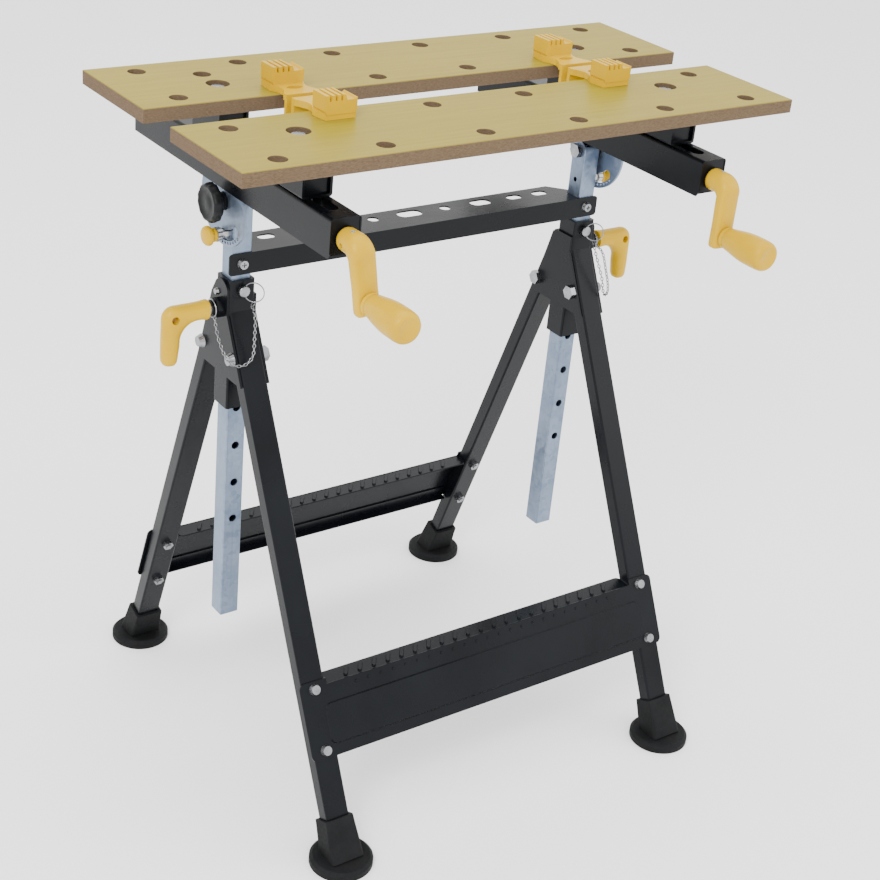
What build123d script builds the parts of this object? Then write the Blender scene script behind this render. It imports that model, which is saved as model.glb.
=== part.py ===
"""Folding clamping workbench: two splayed leg frames, a height-adjustable
tilting head and a two-board vice closed by two hand cranks.

Millimetres. X runs along the boards, +Y to the back, +Z up. The origin is the
bottom centre of the bounding box. SIDES holds -1 for left and +1 for right.
"""
import os
from math import cos, pi, radians, sin, tan

from build123d import *

os.makedirs("parts", exist_ok=True)

SIDES = {"left": -1, "right": 1}

# Boards
BOARD_LENGTH = 605
BOARD_WIDTH = 122
BOARD_THICK = 13
BOARD_TOP = 686
BOARD_BOTTOM = BOARD_TOP - BOARD_THICK
FRONT_BOARD_Y = -90
REAR_BOARD_Y = 82
DOG_HOLE_R = 8.5
DOG_ROW_OFFSET = BOARD_WIDTH / 2 - 20
DOG_HOLE_PITCH = 103.6
FRONT_BOLT_Y = -74
REAR_BOLT_Y = 68
EXTRA_HOLE_Y = 98
BOLT_RECESS_R = 11
BOLT_RECESS_DEPTH = 6

# Rails and screw drive
RAIL_X = 206
RAIL_WIDTH = 30
RAIL_WALL = 1.5
RAIL_Z0 = 602.5
RAIL_Z1 = 638
RAIL_Y0 = -156
RAIL_Y1 = 203
SLOT_WIDTH = 12.5
SCREW_Z = 620
SCREW_R = 5
COLLAR_R = 8.5
RUN_GAP = 0.05
SLIDE_GAP = 0.3
FRONT_BOLT_Z0 = SCREW_Z + SCREW_R + 3
JAW_BLOCK_Y0 = -109
JAW_BLOCK_Y1 = -42
REAR_BLOCK_Y0 = 36
REAR_BLOCK_Y1 = 86
NUT_LENGTH = 24
NUT_Z0 = 608
JAW_SLOT_LENGTH = 112
JAW_SLOT_Y = -82

# Cranks
HUB_Y0 = -186
HUB_Y1 = -157
HUB_R = 12
HUB_FLOOR = 5
CROSS_PIN_Y = (HUB_Y0 + HUB_Y1) / 2 + 2
ARM_DEPTH = 12
ARM_WIDTH = 22
CRANK_THROW = 49
CRANK_TURN = {-1: -10, 1: 0}
CROSS_PIN_R = 2
RIVET_R = 3
RIVET_HEAD_R = 5.5
RIVET_HEAD_HEIGHT = 2.5
GRIP_LENGTH = 58
GRIP_FLOOR = 13

# Bolts, nuts and collars
PIVOT_NUT_R = 7.5
PIVOT_NUT_HEIGHT = 6
PIVOT_HEAD_R = 7
PIVOT_HEAD_HEIGHT = 5
STOP_BOLT = (33, 500)
STOP_BOLT_R = 3.6
STOP_BOLT_HEIGHT = 2.5
DOME_TAPER = 22
BOSS_HEX_R = 9.5
BOSS_HEX_HEIGHT = 7
BOSS_NECK_R = 7.5
BOSS_NECK_HEIGHT = 4
PANEL_BOLT_R = 3
PANEL_HEAD_R = 6
PANEL_HEAD_HEIGHT = 3.6
PANEL_NUT_R = 5.8
PANEL_NUT_HEIGHT = 4.5
BOARD_BOLT_R = 4
BOARD_BOLT_HEAD_R = 8
BOARD_BOLT_HEAD_HEIGHT = 3.5
BRACE_SCREW_R = 3
BRACE_SCREW_HEAD_R = 5.6
BRACE_SCREW_HEAD_HEIGHT = 3.4

# Posts and head pivot
POST_X = 204
POST_Y = 26
POST_SIZE = 20
POST_WALL = 1.5
POST_Z0 = 148
PIVOT_Z = 591
PIVOT_R = 4
PLUNGER_Z = 559.5
PIN_Z = 506
PIN_R = 4
HOLE_PITCH = 41
HOLE_COUNT = 7
QUADRANT_R = 42
QUADRANT_X0 = 217
PLATE = 2.5
SLOT_ARC_R = PIVOT_Z - PLUNGER_Z
TILT_MAX = 45
INDEX_HOLES = 7
INDEX_HOLE_ARC_R = 38.5
INDEX_HOLE_R = 1.5
ARC_SLOT_WIDTH = 10
QUADRANT_TAB = (84, 30)
QUADRANT_TAB_Z = 618
WASHER_R = 9.5
BUSHING_R = 4.5
BUSHING_LENGTH = 8
BUSHING_HEX_R = 7
BUSHING_HEX_LENGTH = 5
PLUNGER_STEM_R = 2.5

# Knobs and clamp handles
KNOB_SHAFT_R = 8.5
KNOB_X0 = 228
KNOB_DEPTH = 10.5
KNOB_R = 18.5
KNOB_GRIP_DEPTH = 5
PLUNGER_COLLAR_R = 6.5
PLUNGER_COLLAR_LENGTH = 3
PLUNGER_KNOB_R = 9.3
PLUNGER_KNOB_DEPTH = 9
HANDLE_X0 = 233
HANDLE_BEND_X = 271
HANDLE_END_Z = 446
HANDLE_R = 9
HANDLE_BEND_R = 13
HANDLE_HOLE_R = 3.6
CLAMP_SCREW_X1 = 244

# Lock pins and their rings
PIN_HEAD_R = 5.5
PIN_HEAD_DEPTH = 5
RING_R = 9.5
RING_WIRE_R = 0.75
RING_TURN = 40

# Sleeves and leg pivots
SLEEVE_SIZE = 26
SLEEVE_BORE = 20.6
SLEEVE_Z0 = 385
SLEEVE_Z1 = 516
OUTER_CROWN = SLEEVE_Z1 - 9
INNER_CROWN = SLEEVE_Z1 - 16
CLAMP_Z = 487
FRONT_PIVOT = (1.5, 443)
REAR_PIVOT = (60, 438)
LEG_BOLT_R = 4

# Leg frames
LEG_X = 204
LEG_WIDTH = 25
LEG_DEPTH = 16
LEG_WALL = 1.5
LEG_STOCK = 580
REAR_LEG_TOP = 497
FOOT_Y = 217
FOOT_Z = 8
FOOT_R = 31.2
FOOT_COLLAR = (36, 28)
FRONT_SLOPE = 26.6
REAR_SLOPE = 20.1
PANEL_LENGTH = 440
PANEL_HEIGHT = 76
SHEET = 1.5
FIELD_LENGTH = 394
FIELD_HEIGHT = 41
FIELD_MID = 31.5
FIELD_SLOPE = 4
TREAD_LENGTH = 380
TREAD_DEPTH = 18
TREAD_LAP = 1.3
STEP_EDGE = 70
RIB_LENGTH = 16
RIB_WIDTH = 4.5
RIB_ANGLE = 55
RIB_HEIGHT = 1.6
PANEL_BOLT_INSET = 8
FRONT_PANEL_LOW = 97
REAR_PANEL_LOW = 91
RIB_COUNT = 21
RIB_PITCH = 16.2
DOT_COUNT = 23
DOT_PITCH = 14.4
DOT_ROW = 64
DOT_R = 1.6
DOT_HEIGHT = 0.8

# Brace
BRACE_Z0 = 521
BRACE_Z1 = 542
BRACE_Y0 = 14.5
BRACE_Y1 = 59
BRACE_HALF = 218
BRACE_NOTCH_X = 199
BRACE_NOTCH_Y = 42
BRACE_CORNER_X = 183
BRACE_LIP = 3.5
BRACE_HOLE_Y = 44.5
BRACE_HOLES = ((0, 28, 15), (43, 11.6, 11.5), (87, 24, 14), (130, 18, 11), (163, 18, 11))

# Dogs
DOG_X = 155.4
DOG_WIDTH = 38
DOG_REACH = 41
DOG_DEPTH = 22
DOG_HEIGHT = 22
DOG_NOTCHES = (-6, 1, 8)
DOG_NOTCH_WIDTH = 3.4
DOG_SKIRT = 4
DOG_SKIRT_HEIGHT = 24
DOG_TONGUE_THICK = 6

# Retaining chains
CHAIN_DIAMETER = 3.5


def finish(piece, name):
    """Label a finished sub-part and write it."""
    piece.part.label = name
    export_step(piece.part, f"parts/{name}.step")


def finish_turned(piece, name, side):
    """Write a sub-part of a crank, turned about its lead screw to the crank's rest angle."""
    turned = piece.part.rotate(Axis((side * RAIL_X, 0, SCREW_Z), (0, 1, 0)), CRANK_TURN[side])
    turned.label = name
    export_step(turned, f"parts/{name}.step")


def leg_axis_plane(front):
    """Plane across a leg at its foot: X along the frame, normal up the leg."""
    lean = radians(FRONT_SLOPE if front else REAR_SLOPE)
    if front:
        return Plane((0, -FOOT_Y, FOOT_Z), x_dir=(1, 0, 0), z_dir=(0, sin(lean), cos(lean)))
    return Plane((0, FOOT_Y, FOOT_Z), x_dir=(-1, 0, 0), z_dir=(0, -sin(lean), cos(lean)))


def leg_face_plane(front, out=0):
    """Plane on the outer face of a leg frame: Y up the leg, normal outwards."""
    lean = radians(FRONT_SLOPE if front else REAR_SLOPE)
    facing = -1 if front else 1
    normal = Vector(0, facing * cos(lean), sin(lean))
    origin = Vector(0, facing * FOOT_Y, FOOT_Z) + normal * (LEG_DEPTH / 2 + out)
    return Plane(origin, x_dir=(-facing, 0, 0), z_dir=normal)


# ---------------------------------------------------------------- stand body
def make_sleeve(name, side):
    """Square tube that the post slides in, drilled for the pin and the clamp."""
    x = side * POST_X
    with BuildPart() as sleeve:
        with BuildSketch(Plane.XY.offset(SLEEVE_Z0)):
            with Locations((x, POST_Y)):
                RectangleRounded(SLEEVE_SIZE, SLEEVE_SIZE, 2)
                Rectangle(SLEEVE_BORE, SLEEVE_BORE, mode=Mode.SUBTRACT)
        extrude(amount=SLEEVE_Z1 - SLEEVE_Z0)
        with BuildSketch(Plane.XZ.offset(-POST_Y)):
            with Locations((x, PIN_Z)):
                Circle(PIN_R + RUN_GAP)
        extrude(amount=SLEEVE_SIZE, both=True, mode=Mode.SUBTRACT)
        with BuildSketch(Plane.YZ.offset(x)):
            with Locations((POST_Y, CLAMP_Z)):
                Circle(SCREW_R + RUN_GAP)
        extrude(amount=side * SLEEVE_SIZE, mode=Mode.SUBTRACT)
    finish(sleeve, name)


def make_gussets():
    """Four plates welded to the sleeves that carry the leg bolts. The outer two are arched."""
    with BuildPart() as plates:
        for side, outward in ((-1, 1), (-1, -1), (1, 1), (1, -1)):
            away = POST_X + outward * SLEEVE_SIZE / 2
            crown = OUTER_CROWN if outward > 0 else INNER_CROWN
            with BuildSketch(Plane.YZ.offset(side * away)):
                with BuildLine():
                    Polyline((14, crown), (14, 483), (-17, 421), (68, 421), (44, 497), (38, crown))
                    if outward > 0:
                        ThreePointArc((38, crown), (26, crown + 8), (14, crown))
                    else:
                        Line((38, crown), (14, crown))
                make_face()
                with Locations(FRONT_PIVOT, REAR_PIVOT):
                    Circle(LEG_BOLT_R + RUN_GAP, mode=Mode.SUBTRACT)
                if outward > 0:
                    with Locations((POST_Y, CLAMP_Z)):
                        Circle(SCREW_R + RUN_GAP, mode=Mode.SUBTRACT)
            extrude(amount=side * outward * PLATE)
    finish(plates, "gusset_plates")


def make_clamp_bosses():
    """Threaded collars welded on the outer plates: a hexagon with a round neck."""
    base = POST_X + SLEEVE_SIZE / 2 + PLATE
    with BuildPart() as bosses:
        for side in SIDES.values():
            with BuildSketch(Plane.YZ.offset(side * base)):
                with Locations((POST_Y, CLAMP_Z)):
                    RegularPolygon(BOSS_HEX_R, 6)
                    Circle(SCREW_R + RUN_GAP, mode=Mode.SUBTRACT)
            extrude(amount=side * BOSS_HEX_HEIGHT)
            with BuildSketch(Plane.YZ.offset(side * (base + BOSS_HEX_HEIGHT))):
                with Locations((POST_Y, CLAMP_Z)):
                    Circle(BOSS_NECK_R)
                    Circle(SCREW_R + RUN_GAP, mode=Mode.SUBTRACT)
            extrude(amount=side * BOSS_NECK_HEIGHT)
    finish(bosses, "clamp_bosses")


def make_leg_pivot_bolts():
    """Four bolts with nuts, through both plates and the top of each leg."""
    outer = POST_X + SLEEVE_SIZE / 2 + PLATE
    inner = POST_X - SLEEVE_SIZE / 2 - PLATE
    with BuildPart() as bolts:
        for side in SIDES.values():
            with BuildSketch(Plane.YZ.offset(side * (inner - PIVOT_NUT_HEIGHT))):
                with Locations(FRONT_PIVOT, REAR_PIVOT):
                    RegularPolygon(PIVOT_NUT_R, 6)
            extrude(amount=side * PIVOT_NUT_HEIGHT)
            with BuildSketch(Plane.YZ.offset(side * inner)):
                with Locations(FRONT_PIVOT, REAR_PIVOT):
                    Circle(LEG_BOLT_R)
            extrude(amount=side * (outer - inner))
            with BuildSketch(Plane.YZ.offset(side * outer)):
                with Locations(FRONT_PIVOT, REAR_PIVOT):
                    Circle(PIVOT_HEAD_R)
            extrude(amount=side * PIVOT_HEAD_HEIGHT, taper=DOME_TAPER)
    finish(bolts, "leg_pivot_bolts")


def make_stop_bolts():
    """A small domed bolt near the top of each outer plate."""
    outer = POST_X + SLEEVE_SIZE / 2 + PLATE
    with BuildPart() as bolts:
        for side in SIDES.values():
            with BuildSketch(Plane.YZ.offset(side * outer)):
                with Locations(STOP_BOLT):
                    Circle(STOP_BOLT_R)
            extrude(amount=side * STOP_BOLT_HEIGHT, taper=DOME_TAPER)
    finish(bolts, "stop_bolts")


# ---------------------------------------------------------------- leg frames
def make_leg(name, side, front):
    """Rectangular tube, cut to stand against the sleeve at its top."""
    plane = leg_axis_plane(front)
    x = side * LEG_X * (1 if front else -1)
    low = FRONT_PANEL_LOW if front else REAR_PANEL_LOW
    pivot = FRONT_PIVOT if front else REAR_PIVOT
    with BuildPart() as leg:
        with BuildSketch(plane):
            with Locations((x, 0)):
                RectangleRounded(LEG_WIDTH, LEG_DEPTH, 2)
                Rectangle(LEG_WIDTH - 2 * LEG_WALL, LEG_DEPTH - 2 * LEG_WALL, mode=Mode.SUBTRACT)
        extrude(amount=LEG_STOCK)
        with BuildSketch(Plane.YZ.offset(side * LEG_X)):
            with Locations(pivot):
                Circle(LEG_BOLT_R + RUN_GAP)
        extrude(amount=LEG_WIDTH, both=True, mode=Mode.SUBTRACT)
        with BuildSketch(leg_face_plane(front)):
            for height in (low + PANEL_BOLT_INSET, low + PANEL_HEIGHT - PANEL_BOLT_INSET):
                with Locations((x, height)):
                    Circle(PANEL_BOLT_R + RUN_GAP)
        extrude(amount=2 * LEG_DEPTH, both=True, mode=Mode.SUBTRACT)
        sleeve_face = POST_Y + (-1 if front else 1) * (SLEEVE_SIZE / 2 + 0.05)
        reach = -200 if front else 200
        with BuildSketch(Plane.YZ.offset(side * LEG_X)):
            top = SLEEVE_Z1 if front else REAR_LEG_TOP
            with BuildLine():
                Polyline((sleeve_face, -10), (sleeve_face, top), (sleeve_face + 2 * reach, top),
                         (sleeve_face + 2 * reach, -10), close=True)
            make_face()
        extrude(amount=LEG_WIDTH, both=True, mode=Mode.INTERSECT)
    finish(leg, name)


def make_feet(name, front):
    """Rubber feet: a flat disc with a square collar leaning with the leg."""
    plane = leg_axis_plane(front)
    y = -FOOT_Y if front else FOOT_Y
    with BuildPart() as feet:
        with BuildSketch(Plane.XY):
            with Locations((-LEG_X, y), (LEG_X, y)):
                Circle(FOOT_R)
        extrude(amount=6)
        with BuildSketch(Plane.XY.offset(6)):
            with Locations((-LEG_X, y), (LEG_X, y)):
                Circle(FOOT_R)
        extrude(amount=3, taper=45)
        with BuildSketch(plane.offset(-4)):
            with Locations((-LEG_X, 0), (LEG_X, 0)):
                RectangleRounded(*FOOT_COLLAR, 4)
        extrude(amount=42, taper=4)
        with BuildSketch(plane):
            with Locations((-LEG_X, 0), (LEG_X, 0)):
                RectangleRounded(LEG_WIDTH + 0.2, LEG_DEPTH + 0.2, 2)
        extrude(amount=60, mode=Mode.SUBTRACT)
        split(bisect_by=Plane.XY)
    finish(feet, name)


def make_step_panel(name, front):
    """Pressed panel across a leg frame: an embossed field, dots and a level ribbed tread."""
    low = FRONT_PANEL_LOW if front else REAR_PANEL_LOW
    mid = low + PANEL_HEIGHT / 2
    face = leg_face_plane(front)
    facing = -1 if front else 1
    lean = radians(FRONT_SLOPE if front else REAR_SLOPE)
    edge_y = FOOT_Y + LEG_DEPTH / 2 * cos(lean) - (low + STEP_EDGE) * sin(lean)
    edge_z = FOOT_Z + LEG_DEPTH / 2 * sin(lean) + (low + STEP_EDGE) * cos(lean)
    with BuildPart() as panel:
        with BuildSketch(face):
            with Locations((0, mid)):
                RectangleRounded(PANEL_LENGTH, PANEL_HEIGHT, 6)
            with Locations((0, low + PANEL_HEIGHT)):
                Rectangle(TREAD_LENGTH, 2 * (PANEL_HEIGHT - STEP_EDGE), mode=Mode.SUBTRACT)
        extrude(amount=SHEET)
        with BuildSketch(leg_face_plane(front, SHEET)):
            with Locations((0, low + FIELD_MID)):
                RectangleRounded(FIELD_LENGTH, FIELD_HEIGHT, 7)
        extrude(amount=SHEET, taper=40)
        with BuildSketch(face):
            with Locations((0, low + FIELD_MID)):
                RectangleRounded(FIELD_LENGTH - 2 * FIELD_SLOPE, FIELD_HEIGHT - 2 * FIELD_SLOPE, 5)
        extrude(amount=SHEET, mode=Mode.SUBTRACT)
        with BuildSketch(leg_face_plane(front, SHEET)):
            with Locations((0, low + DOT_ROW)):
                with GridLocations(DOT_PITCH, 1, DOT_COUNT, 1):
                    Circle(DOT_R)
        extrude(amount=DOT_HEIGHT, taper=30)
        with BuildSketch(face):
            for height in (low + PANEL_BOLT_INSET, low + PANEL_HEIGHT - PANEL_BOLT_INSET):
                with Locations((-LEG_X, height), (LEG_X, height)):
                    Circle(PANEL_BOLT_R + RUN_GAP)
        extrude(amount=3 * SHEET, both=True, mode=Mode.SUBTRACT)
        with BuildSketch(Plane.XY.offset(edge_z - SHEET)):
            with Locations((0, facing * (edge_y - TREAD_DEPTH / 2))):
                RectangleRounded(TREAD_LENGTH, TREAD_DEPTH, 5)
            with Locations((0, facing * (edge_y + TREAD_LAP - 4))):
                Rectangle(TREAD_LENGTH, 8)
        extrude(amount=SHEET)
        with BuildSketch(Plane.XY.offset(edge_z)):
            with Locations((0, facing * (edge_y - TREAD_DEPTH / 2))):
                with GridLocations(RIB_PITCH, 1, RIB_COUNT, 1):
                    SlotOverall(RIB_LENGTH, RIB_WIDTH, rotation=RIB_ANGLE)
        extrude(amount=RIB_HEIGHT, taper=20)
        lip = leg_axis_plane(front).offset(low)
        with BuildSketch(lip):
            with Locations((0, 3.5 - LEG_DEPTH / 2)):
                Rectangle(TREAD_LENGTH, 7)
        extrude(amount=SHEET)
    finish(panel, name)


def make_panel_bolts(name, front):
    """Four bolts with nuts that hold a step panel on its two legs."""
    low = FRONT_PANEL_LOW if front else REAR_PANEL_LOW
    heights = (low + PANEL_BOLT_INSET, low + PANEL_HEIGHT - PANEL_BOLT_INSET)
    spots = [(x, height) for x in (-LEG_X, LEG_X) for height in heights]
    with BuildPart() as bolts:
        with BuildSketch(leg_face_plane(front, SHEET)):
            with Locations(*spots):
                Circle(PANEL_HEAD_R)
        extrude(amount=PANEL_HEAD_HEIGHT, taper=DOME_TAPER)
        with BuildSketch(leg_face_plane(front, SHEET)):
            with Locations(*spots):
                Circle(PANEL_BOLT_R)
        extrude(amount=-(SHEET + LEG_DEPTH + 6))
        with BuildSketch(leg_face_plane(front, -LEG_DEPTH)):
            with Locations(*spots):
                RegularPolygon(PANEL_NUT_R, 6)
        extrude(amount=-PANEL_NUT_HEIGHT)
    finish(bolts, name)


# ---------------------------------------------------------------- posts body
def make_post(name, side):
    """Galvanised square tube with a row of pin holes and a rounded top."""
    x = side * POST_X
    with BuildPart() as post:
        with BuildSketch(Plane.XY.offset(POST_Z0)):
            with Locations((x, POST_Y)):
                RectangleRounded(POST_SIZE, POST_SIZE, 1.4)
                Rectangle(POST_SIZE - 2 * POST_WALL, POST_SIZE - 2 * POST_WALL, mode=Mode.SUBTRACT)
        extrude(amount=PIVOT_Z + POST_SIZE / 2 - POST_Z0)
        with BuildSketch(Plane.YZ.offset(x)):
            with Locations((POST_Y, PIVOT_Z)):
                Circle(POST_SIZE / 2)
            with Locations((POST_Y, (PIVOT_Z + POST_Z0) / 2)):
                Rectangle(POST_SIZE, PIVOT_Z - POST_Z0)
            with Locations((POST_Y, PIVOT_Z)):
                Circle(PIVOT_R, mode=Mode.SUBTRACT)
            with Locations((POST_Y, PLUNGER_Z)):
                Circle(PLUNGER_STEM_R + RUN_GAP, mode=Mode.SUBTRACT)
        extrude(amount=POST_SIZE, both=True, mode=Mode.INTERSECT)
        with BuildSketch(Plane.XZ.offset(-POST_Y)):
            for step in range(HOLE_COUNT):
                with Locations((x, PIN_Z - step * HOLE_PITCH)):
                    Circle(PIN_R + RUN_GAP)
            with Locations((x, (BRACE_Z0 + BRACE_Z1) / 2)):
                Circle(BRACE_SCREW_R)
        extrude(amount=POST_SIZE, both=True, mode=Mode.SUBTRACT)
    finish(post, name)


def make_brace():
    """Pressed cross brace: a front web, a holed top and a small rear lip."""
    post_in = POST_X - POST_SIZE / 2 - 0.4
    post_back = POST_Y + POST_SIZE / 2 + 0.3
    mid = (BRACE_Z0 + BRACE_Z1) / 2
    with BuildPart() as brace:
        with BuildSketch(Plane.XY.offset(BRACE_Z1 - SHEET)):
            with BuildLine():
                Polyline((post_in, BRACE_Y0), (post_in, post_back), (BRACE_NOTCH_X, post_back),
                         (BRACE_NOTCH_X, BRACE_NOTCH_Y), (BRACE_CORNER_X, BRACE_Y1),
                         (-BRACE_CORNER_X, BRACE_Y1), (-BRACE_NOTCH_X, BRACE_NOTCH_Y),
                         (-BRACE_NOTCH_X, post_back), (-post_in, post_back), (-post_in, BRACE_Y0),
                         close=True)
            make_face()
            for spot, length, width in BRACE_HOLES:
                with Locations((spot, BRACE_HOLE_Y), (-spot, BRACE_HOLE_Y)):
                    SlotOverall(length, width, mode=Mode.SUBTRACT)
        extrude(amount=SHEET)
        with BuildSketch(Plane.XZ.offset(-BRACE_Y0)):
            with Locations((0, mid)):
                RectangleRounded(2 * BRACE_HALF, BRACE_Z1 - BRACE_Z0, 3.5)
            with Locations((0, BRACE_Z1 - 3)):
                Rectangle(2 * post_in, 6)
            with Locations((-POST_X, mid), (POST_X, mid)):
                Circle(BRACE_SCREW_R, mode=Mode.SUBTRACT)
        extrude(amount=-SHEET)
        with BuildSketch(Plane.XZ.offset(-BRACE_Y1 + SHEET)):
            with Locations((0, BRACE_Z1 - BRACE_LIP / 2)):
                Rectangle(2 * BRACE_CORNER_X, BRACE_LIP)
        extrude(amount=-SHEET)
    finish(brace, "cross_brace")


def make_brace_screws():
    """A pan-head screw with a cross recess at each end of the brace."""
    mid = (BRACE_Z0 + BRACE_Z1) / 2
    with BuildPart() as screws:
        with BuildSketch(Plane.XZ.offset(-BRACE_Y0)):
            with Locations((-POST_X, mid), (POST_X, mid)):
                Circle(BRACE_SCREW_HEAD_R)
        extrude(amount=BRACE_SCREW_HEAD_HEIGHT, taper=DOME_TAPER)
        with BuildSketch(Plane.XZ.offset(-BRACE_Y0 + BRACE_SCREW_HEAD_HEIGHT)):
            with Locations((-POST_X, mid), (POST_X, mid)):
                Rectangle(5, 1.2)
                Rectangle(1.2, 5)
        extrude(amount=-1.6, mode=Mode.SUBTRACT)
        with BuildSketch(Plane.XZ.offset(-BRACE_Y0)):
            with Locations((-POST_X, mid), (POST_X, mid)):
                Circle(BRACE_SCREW_R)
        extrude(amount=-10)
    finish(screws, "brace_screws")


def make_tilt_pivot_bolts():
    """Hex bolts through the post tops, which the head tilts on."""
    inner = POST_X - POST_SIZE / 2
    with BuildPart() as bolts:
        for side in SIDES.values():
            with BuildSketch(Plane.YZ.offset(side * (inner - PIVOT_NUT_HEIGHT))):
                with Locations((POST_Y, PIVOT_Z)):
                    RegularPolygon(PIVOT_NUT_R, 6)
            extrude(amount=side * PIVOT_NUT_HEIGHT)
            with BuildSketch(Plane.YZ.offset(side * inner)):
                with Locations((POST_Y, PIVOT_Z)):
                    Circle(PIVOT_R)
            extrude(amount=side * (KNOB_X0 + KNOB_GRIP_DEPTH - inner))
    finish(bolts, "tilt_pivot_bolts")


def make_friction_washers():
    """A thick washer between each post and its quadrant plate."""
    base = POST_X + POST_SIZE / 2
    with BuildPart() as washers:
        for side in SIDES.values():
            with BuildSketch(Plane.YZ.offset(side * base)):
                with Locations((POST_Y, PIVOT_Z)):
                    Circle(WASHER_R)
                    Circle(PIVOT_R, mode=Mode.SUBTRACT)
            extrude(amount=side * (QUADRANT_X0 - base - 0.05))
    finish(washers, "friction_washers")


def make_plunger_bushings():
    """Threaded bushings on the posts, through the arc slots of the quadrants."""
    base = POST_X + POST_SIZE / 2
    with BuildPart() as bushings:
        for side in SIDES.values():
            with BuildSketch(Plane.YZ.offset(side * base)):
                with Locations((POST_Y, PLUNGER_Z)):
                    Circle(BUSHING_R)
                    Circle(PLUNGER_STEM_R + RUN_GAP, mode=Mode.SUBTRACT)
            extrude(amount=side * BUSHING_LENGTH)
            with BuildSketch(Plane.YZ.offset(side * (base + BUSHING_LENGTH))):
                with Locations((POST_Y, PLUNGER_Z)):
                    RegularPolygon(BUSHING_HEX_R, 6)
                    Circle(PLUNGER_STEM_R + RUN_GAP, mode=Mode.SUBTRACT)
            extrude(amount=side * BUSHING_HEX_LENGTH)
    finish(bushings, "plunger_bushings")


# ----------------------------------------------------------------- head body
def make_rail(name, side):
    """Inverted U channel that carries both boards, slotted for the moving jaw."""
    x = side * RAIL_X
    height = RAIL_Z1 - RAIL_Z0
    with BuildPart() as rail:
        with BuildSketch(Plane.XZ.offset(-RAIL_Y0)):
            with Locations((x, RAIL_Z0 + height / 2)):
                RectangleRounded(RAIL_WIDTH, height, 3)
            with Locations((x, RAIL_Z0 + 3)):
                Rectangle(RAIL_WIDTH, 6)
            with Locations((x, RAIL_Z0 + height / 2 - RAIL_WALL)):
                Rectangle(RAIL_WIDTH - 2 * RAIL_WALL, height, mode=Mode.SUBTRACT)
        extrude(amount=RAIL_Y0 - RAIL_Y1)
        with BuildSketch(Plane.XY.offset(RAIL_Z1)):
            with Locations((x, JAW_SLOT_Y)):
                SlotOverall(JAW_SLOT_LENGTH, SLOT_WIDTH, rotation=90)
            with Locations((x, REAR_BOLT_Y)):
                Circle(BOARD_BOLT_R)
        extrude(amount=-2 * RAIL_WALL, mode=Mode.SUBTRACT)
        with BuildSketch(Plane.YZ.offset(x)):
            with BuildLine():
                Polyline((RAIL_Y0 - 1, RAIL_Z0 - 1), (RAIL_Y0 + 4, RAIL_Z0 - 1),
                         (RAIL_Y0 - 1, RAIL_Z0 + 6), close=True)
            make_face()
        extrude(amount=RAIL_WIDTH, both=True, mode=Mode.SUBTRACT)
    finish(rail, name)


def make_rail_end_plates():
    """Front end plates inside the rails: the bearings of the lead screws."""
    low = RAIL_Z0 + 3
    high = RAIL_Z1 - RAIL_WALL
    with BuildPart() as plates:
        for side in SIDES.values():
            with BuildSketch(Plane.XZ.offset(-RAIL_Y0 - 0.5)):
                with Locations((side * RAIL_X, (low + high) / 2)):
                    Rectangle(RAIL_WIDTH - 2 * RAIL_WALL, high - low)
                with Locations((side * RAIL_X, SCREW_Z)):
                    Circle(SCREW_R + RUN_GAP, mode=Mode.SUBTRACT)
            extrude(amount=-4)
    finish(plates, "rail_end_plates")


def make_quadrants():
    """Tilt plates: a disc about the pivot with an arc slot and index holes."""
    slot_path = CenterArc((POST_Y, PIVOT_Z), SLOT_ARC_R, 270 - TILT_MAX, TILT_MAX)
    with BuildPart() as quadrants:
        for side in SIDES.values():
            with BuildSketch(Plane.YZ.offset(side * QUADRANT_X0)):
                with Locations((POST_Y, PIVOT_Z)):
                    Circle(QUADRANT_R)
                with Locations((POST_Y, QUADRANT_TAB_Z)):
                    RectangleRounded(*QUADRANT_TAB, 3)
                with Locations((POST_Y, PIVOT_Z)):
                    Circle(PIVOT_R + RUN_GAP, mode=Mode.SUBTRACT)
                for step in range(INDEX_HOLES):
                    angle = radians(270 - TILT_MAX * step / (INDEX_HOLES - 1))
                    with Locations((POST_Y + INDEX_HOLE_ARC_R * cos(angle),
                                    PIVOT_Z + INDEX_HOLE_ARC_R * sin(angle))):
                        Circle(INDEX_HOLE_R, mode=Mode.SUBTRACT)
                SlotArc(slot_path, ARC_SLOT_WIDTH, mode=Mode.SUBTRACT)
            extrude(amount=side * PLATE)
    finish(quadrants, "quadrant_plates")


def make_jaw_blocks(name, y0, y1, bolt_y, z0):
    """Square tubes along Y between the rails and a board, bored for the board bolts."""
    height = BOARD_BOTTOM - z0
    with BuildPart() as blocks:
        for side in SIDES.values():
            x = side * RAIL_X
            with BuildSketch(Plane.XZ.offset(-y0)):
                with Locations((x, z0 + height / 2)):
                    RectangleRounded(RAIL_WIDTH, height, 2.5)
                    Rectangle(RAIL_WIDTH - 5, height - 5, mode=Mode.SUBTRACT)
            extrude(amount=y0 - y1)
            with BuildSketch(Plane.XZ.offset(-y0 - 3)):
                with Locations((x, z0 + height / 2)):
                    Rectangle(RAIL_WIDTH - 5, height - 5)
            extrude(amount=-2)
            with BuildSketch(Plane.XY.offset(z0)):
                with Locations((x, bolt_y)):
                    Circle(BOARD_BOLT_R)
            extrude(amount=height, mode=Mode.SUBTRACT)
    finish(blocks, name)


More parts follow.
